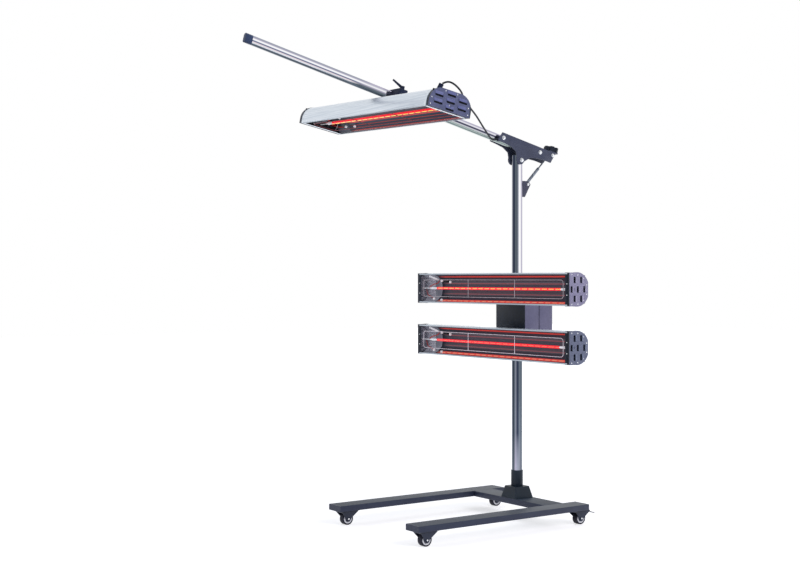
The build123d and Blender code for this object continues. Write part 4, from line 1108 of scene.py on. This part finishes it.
# Rubber strip in the seam between the carriage cover and the control box
strips = []
for side in (-1, 1):
    strip = block("strip", (0.6, 5, 296), at(side * 105.4, 46, 955) * 1000)
    strips.append(rounded(shaped(strip, (left, right), (1.0, -0.2)), 0.1, 1))
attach(coat(joined("carriage_seam_strips", *strips), seam_rubber), "carriage")

# Cable gland on the boom head: a flanged foot, a leaning body and its ribbed nut
gland_foot = at(412, -784, 1892)
gland_base = gland_foot + up * 0.004
gland_way = Vector((0.36, 0.30, 0.88)).normalized()
ribs = 12
foot = rounded(shaped(block("foot", (30, 30, 9), (0, 0, 4.5)), (up,), (2.5, 1.5)), 1.5, 2)
body = rounded(shaped(disc("gland_body", 11, 36, 8), (up,), (1.0, 2.0)), 0.8)
nut = disc("gland_nut", 9.5, 7, 2 * ribs)


def on_rib(face):
    """Whether a face is every second one round the nut."""
    step = int(atan2(face.normal.y, face.normal.x) * ribs / pi + 2 * ribs)
    return abs(face.normal.z) < 0.1 and step % 2


pick(nut, "FACE", on_rib)
pushed(0.8)
rounded(shaped(nut, (up,), (3.0, 2.0)), 0.5)
gland = joined(
    "cable_gland_dressed",
    copied(foot, "foot", facing(gland_foot, heads["boom_head"][0].to_3x3() @ up)),
    copied(body, "body", facing(gland_base, gland_way)),
    copied(nut, "nut", facing(gland_base + gland_way * 0.037, gland_way)),
)
discard(foot, body, nut)
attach(coat(gland, clamp_paint), "boom_head")
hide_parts("cable_gland")

# Boom cable, from the gland on the boom head to the bush in the bracket
cable_route = (
    (430, -768, 1935), (437, -751, 1946), (447, -722, 1938), (438, -676, 1911), (392, -630, 1893),
    (325, -545, 1867), (258, -455, 1845), (188, -368, 1818), (122, -281, 1788), (74, -222, 1773),
    (36, -178, 1771), (22, -156, 1777), (22, -138, 1777),
)
route = curved("boom_flex_route", [at(*point) for point in cable_route], 12)
bpy.context.view_layer.update()
cable_path = [tuple(v.co) for v in bpy.data.meshes.new_from_object(route).vertices]
route.data.bevel_depth = cable_radius
route.data.bevel_resolution = 6
bpy.context.view_layer.update()
cable = shown("boom_flex", bpy.data.meshes.new_from_object(route))
bpy.data.objects.remove(route)
for face in cable.data.polygons:
    face.use_smooth = True
cable.data.materials.append(cable_rubber)
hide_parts("boom_cable")
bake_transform(cable)


# Studio: floor, world, lamps and camera
def seen_ray(tree):
    """One for rays from the camera, a mirror or clear glass, and nought for the rest."""
    rays = add(tree, "LightPath").node.outputs
    seen = add(tree, "Math MAXIMUM", rays["Is Camera Ray"], rays["Is Glossy Ray"])
    return add(tree, "Math MAXIMUM", seen, rays["Is Transmission Ray"])


bpy.ops.mesh.primitive_plane_add(size=40, location=(0, 0, 0))
floor = bpy.context.object
floor.name = "studio_floor"
floor_paint = bpy.data.materials.new("studio_floor_white")
floor_paint.use_nodes = True
tree = floor_paint.node_tree
tree.nodes.clear()
# Near the lamp the floor glows less than from 3.2 m on, so that a soft shadow shows
spot = add(tree, "TexCoord").node.outputs["Object"]
far = add(tree, "VectorMath LENGTH", spot)
rise = add(tree, "MapRange", far, 1.3, 3.2, 0.62, 1.0, interpolation_type="SMOOTHSTEP")
lift = add(tree, "Math MULTIPLY", seen_ray(tree), rise)
glow = add(tree, "Emission", linear("#ffffff"), lift)
matt = add(tree, "BsdfDiffuse", linear("#e6e6e6"))
add(tree, "OutputMaterial", add(tree, "AddShader", glow, matt))
floor.data.materials.append(floor_paint)

world = bpy.data.worlds.new("studio_sky")
scene.world = world
world.use_nodes = True
tree = world.node_tree
tree.nodes.clear()
fill = add(tree, "Background", linear("#e9eefc"), 0.38)
white = add(tree, "Background", linear("#ffffff"), 1.0)
add(tree, "OutputWorld", add(tree, "MixShader", seen_ray(tree), fill, white))


def soft_lamp(name, place, target, size, watts, tint):
    """A square area lamp that points at its target and stays out of reflections."""
    data = bpy.data.lights.new(name, "AREA")
    data.shape = "SQUARE"
    data.size = size
    data.energy = watts
    data.color = linear(tint)[:3]
    lamp = shown(name, data)
    lamp.location = place
    lamp.rotation_euler = (Vector(target) - Vector(place)).to_track_quat("-Z", "Y").to_euler()
    lamp.visible_glossy = False


soft_lamp("key_lamp", (5.0, 1.0, 3.4), (0, 0.4, 1.0), 2.6, 150, "#fdf8ff")
soft_lamp("front_lamp", (-1.0, -5.0, 3.0), (0, 0.2, 1.1), 2.6, 55, "#f0f4ff")
soft_lamp("back_lamp", (-3.5, 4.0, 3.6), (0, 0.2, 1.1), 2.4, 60, "#ffffff")

camera_data = bpy.data.cameras.new("photo_camera")
camera_data.sensor_width = 36
camera_data.lens = 59.66
camera_data.clip_end = 100
camera = shown("photo_camera", camera_data)
camera.location = at(4805.25, -4078.77, 1127.63)
camera.rotation_euler = (radians(89.78), 0, radians(54.72))
scene.camera = camera
scene.view_settings.view_transform = "Standard"
